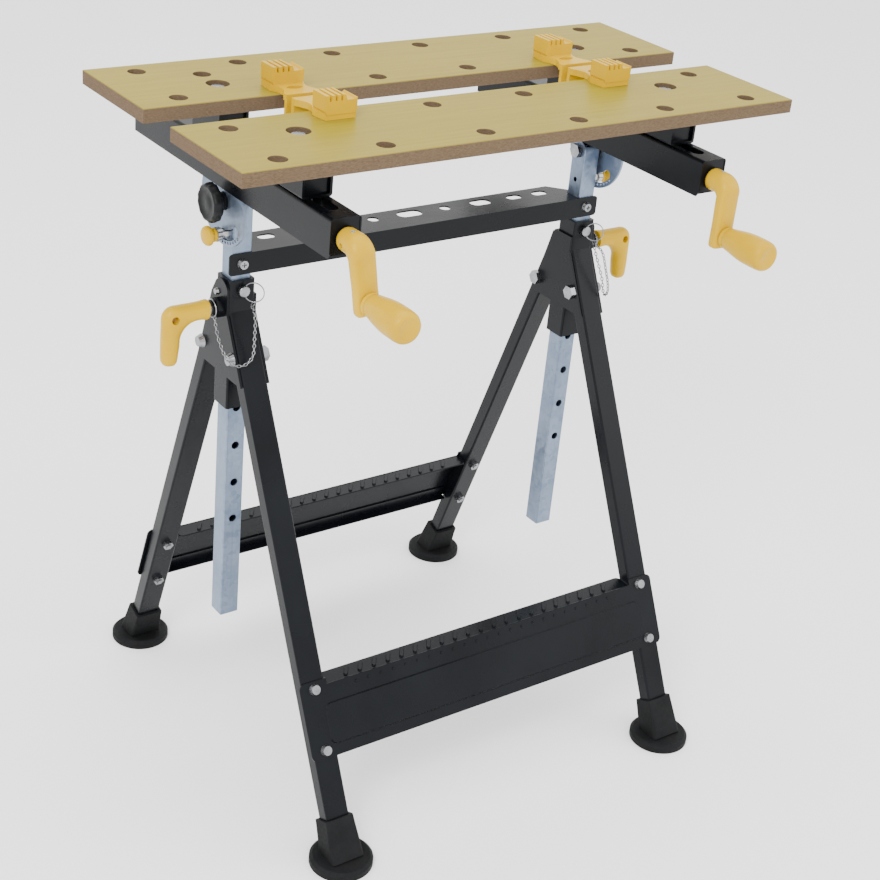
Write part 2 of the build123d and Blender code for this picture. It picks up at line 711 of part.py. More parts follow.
def make_board(name, centre_y, bolt_y, extra_y):
    """Board with two rows of dog holes and a recess over each board bolt."""
    with BuildPart() as board:
        with BuildSketch(Plane.XY.offset(BOARD_BOTTOM)):
            with Locations((0, centre_y)):
                Rectangle(BOARD_LENGTH, BOARD_WIDTH)
                with GridLocations(DOG_HOLE_PITCH, 2 * DOG_ROW_OFFSET, 6, 2):
                    Circle(DOG_HOLE_R, mode=Mode.SUBTRACT)
            for side in SIDES.values():
                with Locations((side * RAIL_X, bolt_y)):
                    Circle(BOARD_BOLT_R, mode=Mode.SUBTRACT)
                for spot in extra_y:
                    with Locations((side * RAIL_X, spot)):
                        Circle(DOG_HOLE_R, mode=Mode.SUBTRACT)
        extrude(amount=BOARD_THICK)
        with BuildSketch(Plane.XY.offset(BOARD_TOP)):
            with Locations((-RAIL_X, bolt_y), (RAIL_X, bolt_y)):
                Circle(BOLT_RECESS_R)
        extrude(amount=-BOLT_RECESS_DEPTH, mode=Mode.SUBTRACT)
        chamfer(board.faces().sort_by(Axis.Z)[-1].outer_wire().edges(), length=0.6)
    finish(board, name)


def make_board_bolts(name, bolt_y, low):
    """Domed bolts in the board recesses, down through the jaw blocks."""
    seat = BOARD_TOP - BOLT_RECESS_DEPTH
    with BuildPart() as bolts:
        with BuildSketch(Plane.XY.offset(seat)):
            with Locations((-RAIL_X, bolt_y), (RAIL_X, bolt_y)):
                Circle(BOARD_BOLT_HEAD_R)
        extrude(amount=BOARD_BOLT_HEAD_HEIGHT, taper=30)
        with BuildSketch(Plane.XY.offset(low)):
            with Locations((-RAIL_X, bolt_y), (RAIL_X, bolt_y)):
                Circle(BOARD_BOLT_R)
        extrude(amount=seat - low)
    finish(bolts, name)


# ------------------------------------------------------------ moving jaw body
def make_jaw_nuts():
    """Nuts on the lead screws, with a neck through the rail slot."""
    neck_top = RAIL_Z1 + SLIDE_GAP
    body_top = RAIL_Z1 - RAIL_WALL - 2
    with BuildPart() as nuts:
        for side in SIDES.values():
            with BuildSketch(Plane.XY.offset(NUT_Z0)):
                with Locations((side * RAIL_X, FRONT_BOLT_Y)):
                    Rectangle(20, NUT_LENGTH)
            extrude(amount=body_top - NUT_Z0)
            with BuildSketch(Plane.XY.offset(body_top)):
                with Locations((side * RAIL_X, FRONT_BOLT_Y)):
                    SlotOverall(NUT_LENGTH, SLOT_WIDTH - 1, rotation=90)
            extrude(amount=neck_top - body_top)
            with BuildSketch(Plane.XZ.offset(-FRONT_BOLT_Y)):
                with Locations((side * RAIL_X, SCREW_Z)):
                    Circle(SCREW_R + RUN_GAP)
            extrude(amount=NUT_LENGTH, both=True, mode=Mode.SUBTRACT)
            with BuildSketch(Plane.XY.offset(FRONT_BOLT_Z0)):
                with Locations((side * RAIL_X, FRONT_BOLT_Y)):
                    Circle(BOARD_BOLT_R)
            extrude(amount=20, mode=Mode.SUBTRACT)
    finish(nuts, "jaw_nuts")


# --------------------------------------------------------------------- cranks
def make_lead_screw(name, side):
    """Plain-diameter lead screw with a thrust collar behind the end plate."""
    start = HUB_Y0 + HUB_FLOOR
    with BuildPart() as screw:
        with BuildSketch(Plane.XZ.offset(-start)):
            with Locations((side * RAIL_X, SCREW_Z)):
                Circle(SCREW_R)
        extrude(amount=start - 10)
        with BuildSketch(Plane.XZ.offset(-RAIL_Y0 - 5)):
            with Locations((side * RAIL_X, SCREW_Z)):
                Circle(COLLAR_R)
        extrude(amount=-4)
        with BuildSketch(Plane.XY.offset(SCREW_Z)):
            with Locations((side * RAIL_X, CROSS_PIN_Y)):
                Circle(CROSS_PIN_R)
        extrude(amount=HUB_R, both=True, mode=Mode.SUBTRACT)
    finish_turned(screw, name, side)


def make_crank(name, side):
    """Crank: a hub on the lead screw, a hanging arm and the eye of the grip."""
    x = side * RAIL_X
    with BuildPart() as crank:
        with BuildSketch(Plane.XZ.offset(-HUB_Y1)):
            with Locations((x, SCREW_Z)):
                Circle(HUB_R)
        extrude(amount=HUB_Y1 - HUB_Y0)
        with BuildSketch(Plane.XZ.offset(-(HUB_Y0 + ARM_DEPTH))):
            with Locations((x, SCREW_Z - CRANK_THROW / 2)):
                SlotOverall(CRANK_THROW + ARM_WIDTH, ARM_WIDTH, rotation=90)
        extrude(amount=ARM_DEPTH)
        fillet(crank.faces().sort_by(Axis.Y)[0].edges(), radius=3)
        with BuildSketch(Plane.XZ.offset(-HUB_Y1)):
            with Locations((x, SCREW_Z)):
                Circle(SCREW_R + RUN_GAP)
        extrude(amount=HUB_Y1 - HUB_Y0 - HUB_FLOOR, mode=Mode.SUBTRACT)
        with BuildSketch(Plane.XZ.offset(-(HUB_Y0 + ARM_DEPTH))):
            with Locations((x, SCREW_Z - CRANK_THROW)):
                Circle(RIVET_R + RUN_GAP)
        extrude(amount=ARM_DEPTH, mode=Mode.SUBTRACT)
        with BuildSketch(Plane.XY.offset(SCREW_Z)):
            with Locations((x, CROSS_PIN_Y)):
                Circle(CROSS_PIN_R)
        extrude(amount=HUB_R, both=True, mode=Mode.SUBTRACT)
    finish_turned(crank, name, side)


def make_crank_pins(name, side):
    """Cross pin through the hub and lead screw, and the rivet that the grip spins on."""
    arm_back = HUB_Y0 + ARM_DEPTH
    with BuildPart() as pins:
        with BuildSketch(Plane.XY.offset(SCREW_Z)):
            with Locations((side * RAIL_X, CROSS_PIN_Y)):
                Circle(CROSS_PIN_R)
        extrude(amount=HUB_R - 1, both=True)
        with BuildSketch(Plane.XZ.offset(-arm_back)):
            with Locations((side * RAIL_X, SCREW_Z - CRANK_THROW)):
                Circle(RIVET_HEAD_R)
        extrude(amount=-RIVET_HEAD_HEIGHT)
        with BuildSketch(Plane.XZ.offset(-arm_back)):
            with Locations((side * RAIL_X, SCREW_Z - CRANK_THROW)):
                Circle(RIVET_R)
        extrude(amount=ARM_DEPTH + GRIP_LENGTH - GRIP_FLOOR - 1)
    finish_turned(pins, name, side)


def make_grip(name, side):
    """Barrel grip, bored for its axle from the arm side."""
    y0 = HUB_Y0 - SLIDE_GAP
    y1 = y0 - GRIP_LENGTH
    z = SCREW_Z - CRANK_THROW
    with BuildPart() as grip:
        with BuildSketch(Plane.YZ.offset(side * RAIL_X)):
            with BuildLine():
                Line((y0, z), (y0, z + 10.5))
                Spline((y0, z + 10.5), (y0 - 26, z + 14.2), (y1 + 9, z + 12.6), (y1, z),
                       tangents=((-1, 0.1), (0, -1)))
                Line((y1, z), (y0, z))
            make_face()
        revolve(axis=Axis((side * RAIL_X, 0, z), (0, 1, 0)))
        with BuildSketch(Plane.XZ.offset(-y0)):
            with Locations((side * RAIL_X, z)):
                Circle(RIVET_R + RUN_GAP)
        extrude(amount=GRIP_LENGTH - GRIP_FLOOR, mode=Mode.SUBTRACT)
    finish_turned(grip, name, side)


# ---------------------------------------------------------- knobs and handles
def make_tilt_knob(name, side):
    """Round clamping knob on the end of a tilt pivot bolt."""
    start = QUADRANT_X0 + PLATE + SLIDE_GAP
    with BuildPart() as knob:
        with BuildSketch(Plane.YZ.offset(side * start)):
            with Locations((POST_Y, PIVOT_Z)):
                Circle(KNOB_SHAFT_R)
        extrude(amount=side * (KNOB_X0 - start))
        with BuildSketch(Plane.YZ.offset(side * KNOB_X0)):
            with Locations((POST_Y, PIVOT_Z)):
                Circle(KNOB_R)
        extrude(amount=side * KNOB_DEPTH)
        circles = knob.edges().filter_by(GeomType.CIRCLE)
        fillet(circles.filter_by(lambda edge: edge.radius > KNOB_R - 1), radius=3)
        with BuildSketch(Plane.YZ.offset(side * start)):
            with Locations((POST_Y, PIVOT_Z)):
                Circle(PIVOT_R + RUN_GAP)
        extrude(amount=side * (KNOB_X0 + KNOB_GRIP_DEPTH + 1 - start), mode=Mode.SUBTRACT)
    finish(knob, name)


def make_plunger(name, side):
    """Pull knob with a steel stem that runs through the bushing into the post."""
    seat = POST_X + POST_SIZE / 2 + BUSHING_LENGTH + BUSHING_HEX_LENGTH + 0.2
    with BuildPart() as plunger:
        with BuildSketch(Plane.YZ.offset(side * (POST_X + 6))):
            with Locations((POST_Y, PLUNGER_Z)):
                Circle(PLUNGER_STEM_R)
        extrude(amount=side * (seat - POST_X))
        with BuildSketch(Plane.YZ.offset(side * seat)):
            with Locations((POST_Y, PLUNGER_Z)):
                Circle(PLUNGER_COLLAR_R)
        extrude(amount=side * PLUNGER_COLLAR_LENGTH)
        with BuildSketch(Plane.YZ.offset(side * (seat + PLUNGER_COLLAR_LENGTH))):
            with Locations((POST_Y, PLUNGER_Z)):
                Circle(PLUNGER_KNOB_R)
        extrude(amount=side * PLUNGER_KNOB_DEPTH)
        circles = plunger.edges().filter_by(GeomType.CIRCLE)
        fillet(circles.filter_by(lambda edge: edge.radius > PLUNGER_KNOB_R - 1), radius=2.5)
    finish(plunger, name)


def make_clamp_screw(name, side):
    """Threaded rod that presses on the post."""
    tip = POST_X + POST_SIZE / 2 + 0.5
    with BuildPart() as screw:
        with BuildSketch(Plane.YZ.offset(side * tip)):
            with Locations((POST_Y, CLAMP_Z)):
                Circle(SCREW_R)
        extrude(amount=side * (CLAMP_SCREW_X1 - tip))
    finish(screw, name)


def make_clamp_handle(name, side):
    """L-shaped handle moulded on the clamp screw, with a hole at the bend."""
    start = side * HANDLE_X0
    bend = side * HANDLE_BEND_X
    with BuildPart() as handle:
        with BuildLine(Plane.XZ.offset(-POST_Y)) as route:
            FilletPolyline((start, CLAMP_Z), (bend, CLAMP_Z), (bend, HANDLE_END_Z), radius=HANDLE_BEND_R)
        with BuildSketch(Plane.YZ.offset(start)):
            with Locations((POST_Y, CLAMP_Z)):
                Circle(HANDLE_R)
        sweep(path=route.line)
        with Locations((bend, POST_Y, HANDLE_END_Z)):
            Sphere(HANDLE_R)
        with BuildSketch(Plane.YZ.offset(start)):
            with Locations((POST_Y, CLAMP_Z)):
                Circle(SCREW_R)
        extrude(amount=side * (CLAMP_SCREW_X1 - HANDLE_X0), mode=Mode.SUBTRACT)
        with BuildSketch(Plane.XZ.offset(-POST_Y)):
            with Locations((bend - side * 3, CLAMP_Z - 3)):
                Circle(HANDLE_HOLE_R)
        extrude(amount=20, both=True, mode=Mode.SUBTRACT)
    finish(handle, name)


# ------------------------------------------------------- lock pins and chains
def ring_plane(side):
    """Plane of a split ring, turned forwards about the upright hole in the pin head."""
    turn = radians(RING_TURN)
    centre = Vector(side * POST_X + RING_R * cos(turn),
                    POST_Y - SLEEVE_SIZE / 2 - PIN_HEAD_DEPTH / 2 - RING_R * sin(turn), PIN_Z)
    return Plane(centre, x_dir=(cos(turn), -sin(turn), 0), z_dir=(-sin(turn), -cos(turn), 0))


def make_lock_pin(name, side):
    """Height pin: a rod through sleeve and post, with a head drilled for its ring."""
    face = POST_Y - SLEEVE_SIZE / 2 - 0.1
    with BuildPart() as pin:
        with BuildSketch(Plane.XZ.offset(-face)):
            with Locations((side * POST_X, PIN_Z)):
                Circle(PIN_R)
        extrude(amount=-(SLEEVE_SIZE + 3))
        with BuildSketch(Plane.XZ.offset(-face)):
            with Locations((side * POST_X, PIN_Z)):
                Circle(PIN_HEAD_R)
        extrude(amount=PIN_HEAD_DEPTH)
        fillet(pin.faces().sort_by(Axis.Y)[0].edges(), radius=1.2)
        with Locations(ring_plane(side)):
            Torus(RING_R, RING_WIRE_R + RUN_GAP, mode=Mode.SUBTRACT)
    finish(pin, name)


def make_pin_ring(name, side):
    """Split ring through the head of a lock pin."""
    with BuildPart() as ring:
        with Locations(ring_plane(side)):
            Torus(RING_R, RING_WIRE_R)
    finish(ring, name)


# Each chain runs from the clamp boss, round the top of the front leg, up to the pin's ring.
CHAIN_ROUTES = {
    "left": [(-228.5, 20.6, 481.6), (-229, 16, 471), (-229.2, 9.5, 461), (-229.2, 2, 454),
             (-229.2, -6, 447.8), (-225.9, -10.5, 444.4), (-220.3, -13.2, 442.5),
             (-213.7, -13.2, 442.5), (-208.1, -13.2, 445.8), (-204.8, -13.2, 451.4),
             (-204.6, -13.1, 463), (-204.4, -13, 474), (-204, -12.7, 484.6),
             (-203.2, -10.2, 489.5), (-202, -5.8, 492.7), (-200.4, 2, 493.9)],
    "right": [(228.5, 20.6, 481.6), (229.8, 17, 472), (231, 12.5, 463), (231.5, 7.5, 454.5),
              (231.5, 3, 446.7), (230, 0.1, 441.1), (227.5, -5, 437.8), (224.5, -10.8, 437.8),
              (222, -15.9, 441.1), (220.5, -19.2, 447.3), (219.2, -18.4, 457), (217.4, -16.4, 466),
              (215.6, -14.5, 475), (214.2, -12.4, 484), (213.4, -9.2, 489), (212.4, -4.6, 492),
              (211.4, 1, 493.3)],
}


def corner_radii(points):
    """Arc radius at each inner point: 0.45 of the shorter run over tan(half turn)."""
    radii = []
    for before, here, after in zip(points, points[1:], points[2:]):
        first = Vector(here) - Vector(before)
        second = Vector(after) - Vector(here)
        half_turn = radians(first.get_angle(second)) / 2
        radii.append(0.45 * min(first.length, second.length) / tan(half_turn))
    return radii


def make_chain(name, points):
    """Envelope tube of a retaining chain."""
    radii = corner_radii(points)
    with BuildPart() as chain:
        with BuildLine() as route:
            FilletPolyline(*points, radius=radii)
        with BuildSketch(Plane(points[0], z_dir=Vector(points[1]) - Vector(points[0]))):
            Circle(CHAIN_DIAMETER / 2)
        sweep(path=route.line)
    length = sum(edge.length for edge in route.edges())
    section = pi * CHAIN_DIAMETER ** 2 / 4
    print(name, "radii", [round(radius, 1) for radius in radii], "length", round(length, 1))
    print(name, "volume / (section x length)", round(chain.part.volume / (section * length), 4))
    finish(chain, name)


# ----------------------------------------------------------------- bench dogs
def make_dog(name, x, y, facing):
    """Bench dog: a peg, a notched block, and a tongue with a skirt in the jaw gap."""
    with BuildPart() as dog:
        with BuildSketch(Plane.XY.offset(BOARD_BOTTOM + 1)):
            with Locations((x, y)):
                Circle(DOG_HOLE_R - RUN_GAP)
        extrude(amount=BOARD_THICK - 1 + SLIDE_GAP)
        with BuildSketch(Plane.XY.offset(BOARD_TOP + 0.2)):
            with BuildLine():
                Polyline((x - 16, y - facing * 11), (x + 16, y - facing * 11),
                         (x + 19, y + facing * 11), (x + 19, y + facing * DOG_REACH),
                         (x - 19, y + facing * DOG_REACH), (x - 19, y + facing * 11), close=True)
            make_face()
        extrude(amount=DOG_TONGUE_THICK)
        with BuildSketch(Plane.XY.offset(BOARD_TOP + 0.2)):
            with Locations((x, y)):
                Rectangle(DOG_WIDTH - 6, DOG_DEPTH)
        extrude(amount=DOG_HEIGHT)
        with BuildSketch(Plane.YZ.offset(x)):
            for notch in DOG_NOTCHES:
                with Locations((y + facing * notch, BOARD_TOP + DOG_HEIGHT - 2)):
                    Rectangle(DOG_NOTCH_WIDTH, 9)
        extrude(amount=DOG_WIDTH, both=True, mode=Mode.SUBTRACT)
        with BuildSketch(Plane.XZ.offset(-(y + facing * (DOG_REACH - DOG_SKIRT)))):
            with Locations((x, BOARD_TOP - 5)):
                Rectangle(DOG_WIDTH, DOG_SKIRT_HEIGHT)
        extrude(amount=-facing * DOG_SKIRT)
    finish(dog, name)


make_gussets()
make_clamp_bosses()
make_leg_pivot_bolts()
make_stop_bolts()
make_feet("front_feet", True)
make_feet("rear_feet", False)
make_quadrants()
make_step_panel("front_step_panel", True)
make_step_panel("rear_step_panel", False)
make_panel_bolts("front_panel_bolts", True)
make_panel_bolts("rear_panel_bolts", False)
make_brace()
make_brace_screws()
make_tilt_pivot_bolts()
make_friction_washers()
make_plunger_bushings()
make_rail_end_plates()
make_jaw_blocks("rear_jaw_blocks", REAR_BLOCK_Y0, REAR_BLOCK_Y1, REAR_BOLT_Y, RAIL_Z1)
make_board("front_board", FRONT_BOARD_Y, FRONT_BOLT_Y, ())
make_board("rear_board", REAR_BOARD_Y, REAR_BOLT_Y, (EXTRA_HOLE_Y,))
make_board_bolts("front_board_bolts", FRONT_BOLT_Y, FRONT_BOLT_Z0)
make_board_bolts("rear_board_bolts", REAR_BOLT_Y, RAIL_Z1 - 6)
make_jaw_blocks("front_jaw_blocks", JAW_BLOCK_Y0, JAW_BLOCK_Y1, FRONT_BOLT_Y, RAIL_Z1 + SLIDE_GAP)
make_jaw_nuts()
for word, sign in SIDES.items():
    make_sleeve(f"sleeve_{word}", sign)
    make_leg(f"front_leg_{word}", sign, True)
    make_leg(f"rear_leg_{word}", sign, False)
    make_post(f"post_{word}", sign)
    make_rail(f"rail_{word}", sign)
    make_lead_screw(f"lead_screw_{word}", sign)
    make_crank(f"crank_{word}", sign)
    make_crank_pins(f"crank_pins_{word}", sign)
    make_grip(f"crank_grip_{word}", sign)
    make_tilt_knob(f"tilt_knob_{word}", sign)
    make_plunger(f"tilt_plunger_{word}", sign)
    make_clamp_screw(f"clamp_screw_{word}", sign)
    make_clamp_handle(f"clamp_handle_{word}", sign)
    make_lock_pin(f"lock_pin_{word}", sign)
    make_pin_ring(f"pin_ring_{word}", sign)
    make_chain(f"chain_{word}", CHAIN_ROUTES[word])
    make_dog(f"front_dog_{word}", sign * DOG_X, FRONT_BOARD_Y + DOG_ROW_OFFSET, 1)
    make_dog(f"rear_dog_{word}", sign * DOG_X, REAR_BOARD_Y - DOG_ROW_OFFSET, -1)
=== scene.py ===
"""Looks of the folding clamping workbench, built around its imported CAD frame.

Metres, in the row frame: X along the boards, +Y to the back, +Z up.
"""
from math import cos, pi, radians, sin, tau

import bmesh
import bpy
import numpy as np
from mathutils import Matrix, Quaternion, Vector


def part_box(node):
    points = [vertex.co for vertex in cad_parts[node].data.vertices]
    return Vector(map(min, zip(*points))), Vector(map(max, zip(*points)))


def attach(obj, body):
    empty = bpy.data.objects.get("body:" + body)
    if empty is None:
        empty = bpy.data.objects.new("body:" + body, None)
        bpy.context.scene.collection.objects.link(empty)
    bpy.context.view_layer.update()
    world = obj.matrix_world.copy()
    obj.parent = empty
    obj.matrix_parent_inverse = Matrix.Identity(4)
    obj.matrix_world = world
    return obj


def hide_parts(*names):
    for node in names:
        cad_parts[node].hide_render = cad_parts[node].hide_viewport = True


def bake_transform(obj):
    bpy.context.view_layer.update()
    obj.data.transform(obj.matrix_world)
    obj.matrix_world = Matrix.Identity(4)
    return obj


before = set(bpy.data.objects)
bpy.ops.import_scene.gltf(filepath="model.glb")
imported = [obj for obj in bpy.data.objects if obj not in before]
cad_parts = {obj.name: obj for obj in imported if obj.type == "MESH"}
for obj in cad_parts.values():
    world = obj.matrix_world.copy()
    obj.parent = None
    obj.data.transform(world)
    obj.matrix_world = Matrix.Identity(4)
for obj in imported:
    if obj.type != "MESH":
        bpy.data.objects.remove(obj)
bpy.context.view_layer.update()
MM = 0.001
WIRE_SECTION = 10
BEND_STEPS = 12
SIDES = {"left": -1, "right": 1}


# ------------------------------------------------------------------ places
def middle(node):
    """Centre of a CAD node's box."""
    low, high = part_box(node)
    return (low + high) / 2


POST_Y = middle("post_right").y
CRANK_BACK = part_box("crank_right")[1].y
CRANK_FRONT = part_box("crank_right")[0].y
GRIP_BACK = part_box("crank_grip_right")[1].y
GRIP_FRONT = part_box("crank_grip_right")[0].y
CLAMP_Z = middle("clamp_screw_right").z
HANDLE_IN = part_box("clamp_handle_right")[0].x
HANDLE_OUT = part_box("clamp_handle_right")[1].x
HANDLE_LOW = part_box("clamp_handle_right")[0].z
KNOB_Z = middle("tilt_knob_right").z
KNOB_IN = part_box("tilt_knob_right")[0].x
PLUNGER_Z = middle("tilt_plunger_right").z
PLUNGER_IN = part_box("tilt_plunger_right")[0].x
BOSS_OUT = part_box("clamp_bosses")[1].x
BOARD_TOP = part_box("front_board")[1].z

# Camera: metres, degrees, millimetres of lens
CAMERA_PLACE = (-0.9409, -1.27, 1.1365)
CAMERA_AZIMUTH = 37.45
CAMERA_ELEVATION = 27.56
CAMERA_ROLL = 5.67
CAMERA_LENS = 70.48
SENSOR_WIDTH = 36

# Stage: metres and watts
FLOOR_SIZE = 40
SKY_STRENGTH = 2.1
LAMPS = (
    ("key_left", (-2.2, -1.6, 2.6), (0, 0, 0.4), 1.3, 95),
    ("fill_right", (2.4, -1.8, 1.6), (0, 0, 0.4), 1.8, 28),
    ("top", (0.2, 0.4, 3.0), (0, 0, 0.5), 2.2, 30),
)


# -------------------------------------------------------------- node helpers
class Shader:
    """A material under construction: a Principled shader on object coordinates."""

    def __init__(self, name, roughness, metallic=0.0, gloss=0.5):
        self.material = bpy.data.materials.new(name)
        self.material.use_nodes = True
        self.tree = self.material.node_tree
        self.surface = self.tree.nodes["Principled BSDF"]
        self.surface.inputs["Roughness"].default_value = roughness
        self.surface.inputs["Metallic"].default_value = metallic
        self.surface.inputs["Specular IOR Level"].default_value = gloss
        self.place = self.add("ShaderNodeTexCoord").outputs["Object"]

    def add(self, kind, **values):
        """A new shader node with some of its properties set."""
        node = self.tree.nodes.new(kind)
        for key, value in values.items():
            setattr(node, key, value)
        return node

    def link(self, source, node, socket):
        self.tree.links.new(source, node.inputs[socket])

    def stretched(self, x, y, z):
        """Object coordinates scaled along each axis."""
        node = self.add("ShaderNodeMapping")
        self.link(self.place, node, "Vector")
        node.inputs["Scale"].default_value = (x, y, z)
        return node.outputs["Vector"]

    def noise(self, scale, detail=4.0, roughness=0.55, along=None):
        """Noise on object coordinates, or on another vector socket."""
        node = self.add("ShaderNodeTexNoise")
        self.link(self.place if along is None else along, node, "Vector")
        node.inputs["Scale"].default_value = scale
        node.inputs["Detail"].default_value = detail
        node.inputs["Roughness"].default_value = roughness
        return node.outputs["Fac"]

    def cells(self, scale):
        """Random colour per Voronoi cell."""
        node = self.add("ShaderNodeTexVoronoi")
        self.link(self.place, node, "Vector")
        node.inputs["Scale"].default_value = scale
        return node.outputs["Color"]

    def bands(self, scale, axis):
        """Even waves along one axis."""
        node = self.add("ShaderNodeTexWave", bands_direction=axis)
        self.link(self.place, node, "Vector")
        node.inputs["Scale"].default_value = scale
        return node.outputs["Fac"]

    def spread(self, value, low, high, to_low=0.0, to_high=1.0):
        """Map a value range on to another, clamped."""
        node = self.add("ShaderNodeMapRange")
        self.link(value, node, "Value")
        limits = {"From Min": low, "From Max": high, "To Min": to_low, "To Max": to_high}
        for socket, number in limits.items():
            node.inputs[socket].default_value = number
        return node.outputs["Result"]

    def blend(self, factor, first, second):
        """Mix two colours, each an RGB tuple or a socket."""
        node = self.add("ShaderNodeMix", data_type="RGBA")
        self.link(factor, node, 0)
        for socket, colour in ((6, first), (7, second)):
            if isinstance(colour, tuple):
                node.inputs[socket].default_value = (*colour, 1)
            else:
                self.link(colour, node, socket)
        return node.outputs[2]

    def maths(self, operation, first, second):
        """A maths node on two numbers or sockets."""
        node = self.add("ShaderNodeMath", operation=operation)
        for socket, value in ((0, first), (1, second)):
            if isinstance(value, (int, float)):
                node.inputs[socket].default_value = value
            else:
                self.link(value, node, socket)
        return node.outputs[0]

    def part_of(self, vector, axis):
        """One axis of a vector socket."""
        node = self.add("ShaderNodeSeparateXYZ")
        self.link(vector, node, 0)
        return node.outputs[axis]

    def colour(self, source):
        self.link(source, self.surface, "Base Color")

    def rough(self, source):
        self.link(source, self.surface, "Roughness")

    def bumps(self, *layers):
        """Stack bump layers, each (height, depth in metres, strength)."""
        normal = None
        for height, depth, strength in layers:
            node = self.add("ShaderNodeBump")
            node.inputs["Distance"].default_value = depth
            node.inputs["Strength"].default_value = strength
            self.link(height, node, "Height")
            if normal:
                self.link(normal, node, "Normal")
            normal = node.outputs["Normal"]
        self.link(normal, self.surface, "Normal")


# ----------------------------------------------------------------- materials
def black_paint():
    """Satin black powder coat: orange peel, faint dust and rubbed patches."""
    paint = Shader("satin_black_paint", 0.24, 0.0, 0.13)
    patches = paint.noise(14, 5)
    dust = paint.noise(900, 3)
    base = paint.blend(paint.spread(patches, 0.3, 0.75), (0.0022, 0.0028, 0.004), (0.004, 0.005, 0.0066))
    paint.colour(paint.blend(paint.spread(dust, 0.66, 0.8, 0, 0.35), base, (0.012, 0.0135, 0.015)))
    paint.rough(paint.spread(patches, 0.3, 0.7, 0.22, 0.34))
    paint.bumps((paint.noise(420, 2), 0.00012, 0.35), (paint.noise(60, 3), 0.0004, 0.1))
    return paint.material


def galvanised():
    """Zinc-coated tube: spangle, long drawing streaks and cloudy patches."""
    zinc = Shader("galvanised_steel", 0.4, 0.75)
    spangle = zinc.part_of(zinc.cells(210), 0)
    streaks = zinc.noise(9, 6, 0.7, zinc.stretched(60, 60, 1.2))
    clouds = zinc.noise(22, 4)
    base = zinc.blend(zinc.spread(clouds, 0.3, 0.7), (0.11, 0.15, 0.22), (0.175, 0.222, 0.3))
    base = zinc.blend(zinc.spread(spangle, 0, 1, 0, 0.28), base, (0.34, 0.4, 0.5))
    zinc.colour(zinc.blend(zinc.spread(streaks, 0.52, 0.75, 0, 0.4), base, (0.1, 0.14, 0.21)))
    zinc.rough(zinc.spread(spangle, 0, 1, 0.3, 0.48))
    zinc.bumps((streaks, 0.0002, 0.25), (spangle, 0.00005, 0.3))
    return zinc.material


def bright_zinc():
    """Bright plated fasteners, faintly brushed."""
    plate = Shader("bright_zinc_plate", 0.24, 1.0)
    brushed = plate.noise(700, 4, 0.7)
    clouds = plate.noise(90, 3)
    plate.colour(plate.blend(plate.spread(clouds, 0.35, 0.7), (0.2, 0.205, 0.215), (0.3, 0.305, 0.315)))
    plate.rough(plate.spread(brushed, 0.3, 0.7, 0.18, 0.34))
    plate.bumps((brushed, 0.00004, 0.4))
    return plate.material


def threaded_steel():
    """Oiled steel rod with its thread cut around it."""
    steel = Shader("threaded_steel", 0.36, 1.0)
    grain = steel.noise(500, 4)
    turns = steel.bands(160, "Y")
    steel.colour(steel.blend(steel.spread(grain, 0.3, 0.7), (0.33, 0.33, 0.33), (0.55, 0.55, 0.54)))
    steel.rough(steel.spread(grain, 0.3, 0.7, 0.28, 0.45))
    steel.bumps((turns, 0.0008, 0.8), (grain, 0.00005, 0.3))
    return steel.material


def board_laminate():
    """Wood-print laminate over fibreboard, whose brown core shows at edges and holes."""
    wood = Shader("laminated_fibreboard", 0.42, 0.0, 0.12)
    facing = wood.part_of(wood.add("ShaderNodeTexCoord").outputs["Normal"], 2)
    height = wood.part_of(wood.place, 2)
    grain = wood.noise(30, 7, 0.62, wood.stretched(0.35, 9, 1))
    flecks = wood.noise(260, 3, 0.6, wood.stretched(0.22, 3.2, 1))
    broad = wood.noise(5, 3)
    top = wood.blend(wood.spread(grain, 0.35, 0.68), (0.225, 0.173, 0.006), (0.275, 0.215, 0.014))
    top = wood.blend(wood.spread(flecks, 0.56, 0.75, 0, 0.35), top, (0.15, 0.118, 0.008))
    top = wood.blend(wood.spread(broad, 0.35, 0.7, 0, 0.3), top, (0.25, 0.185, 0.016))
    fibre = wood.noise(750, 5, 0.7, wood.stretched(0.5, 0.5, 2.2))
    lumps = wood.noise(80, 3)
    core = wood.blend(wood.spread(fibre, 0.3, 0.72), (0.066, 0.042, 0.024), (0.145, 0.1, 0.06))
    core = wood.blend(wood.spread(lumps, 0.4, 0.75, 0, 0.4), core, (0.11, 0.074, 0.044))
    depth = wood.maths("ABSOLUTE", wood.maths("SUBTRACT", height, BOARD_TOP), 0.0)
    laminate_edge = wood.maths("LESS_THAN", depth, 0.0007)
    core = wood.blend(wood.maths("MULTIPLY", laminate_edge, 0.6), core, (0.16, 0.105, 0.045))
    is_top = wood.spread(facing, 0.55, 0.8)
    wood.colour(wood.blend(is_top, core, top))
    wood.rough(wood.spread(is_top, 0, 1, 0.78, 0.4))
    wood.bumps((fibre, 0.0001, 0.25), (grain, 0.00006, 0.2))
    return wood.material


def moulded(name, dark, light, roughness, grain_scale, grain_depth):
    """Injection-moulded plastic: fine mould texture and slight colour drift."""
    plastic = Shader(name, roughness, 0.0, 0.14)
    drift = plastic.noise(18, 3)
    grain = plastic.noise(grain_scale, 3)
    plastic.colour(plastic.blend(plastic.spread(drift, 0.3, 0.72), dark, light))
    plastic.rough(plastic.spread(grain, 0.3, 0.7, roughness - 0.06, roughness + 0.08))
    plastic.bumps((grain, grain_depth, 0.35), (drift, 0.0006, 0.15))
    return plastic.material


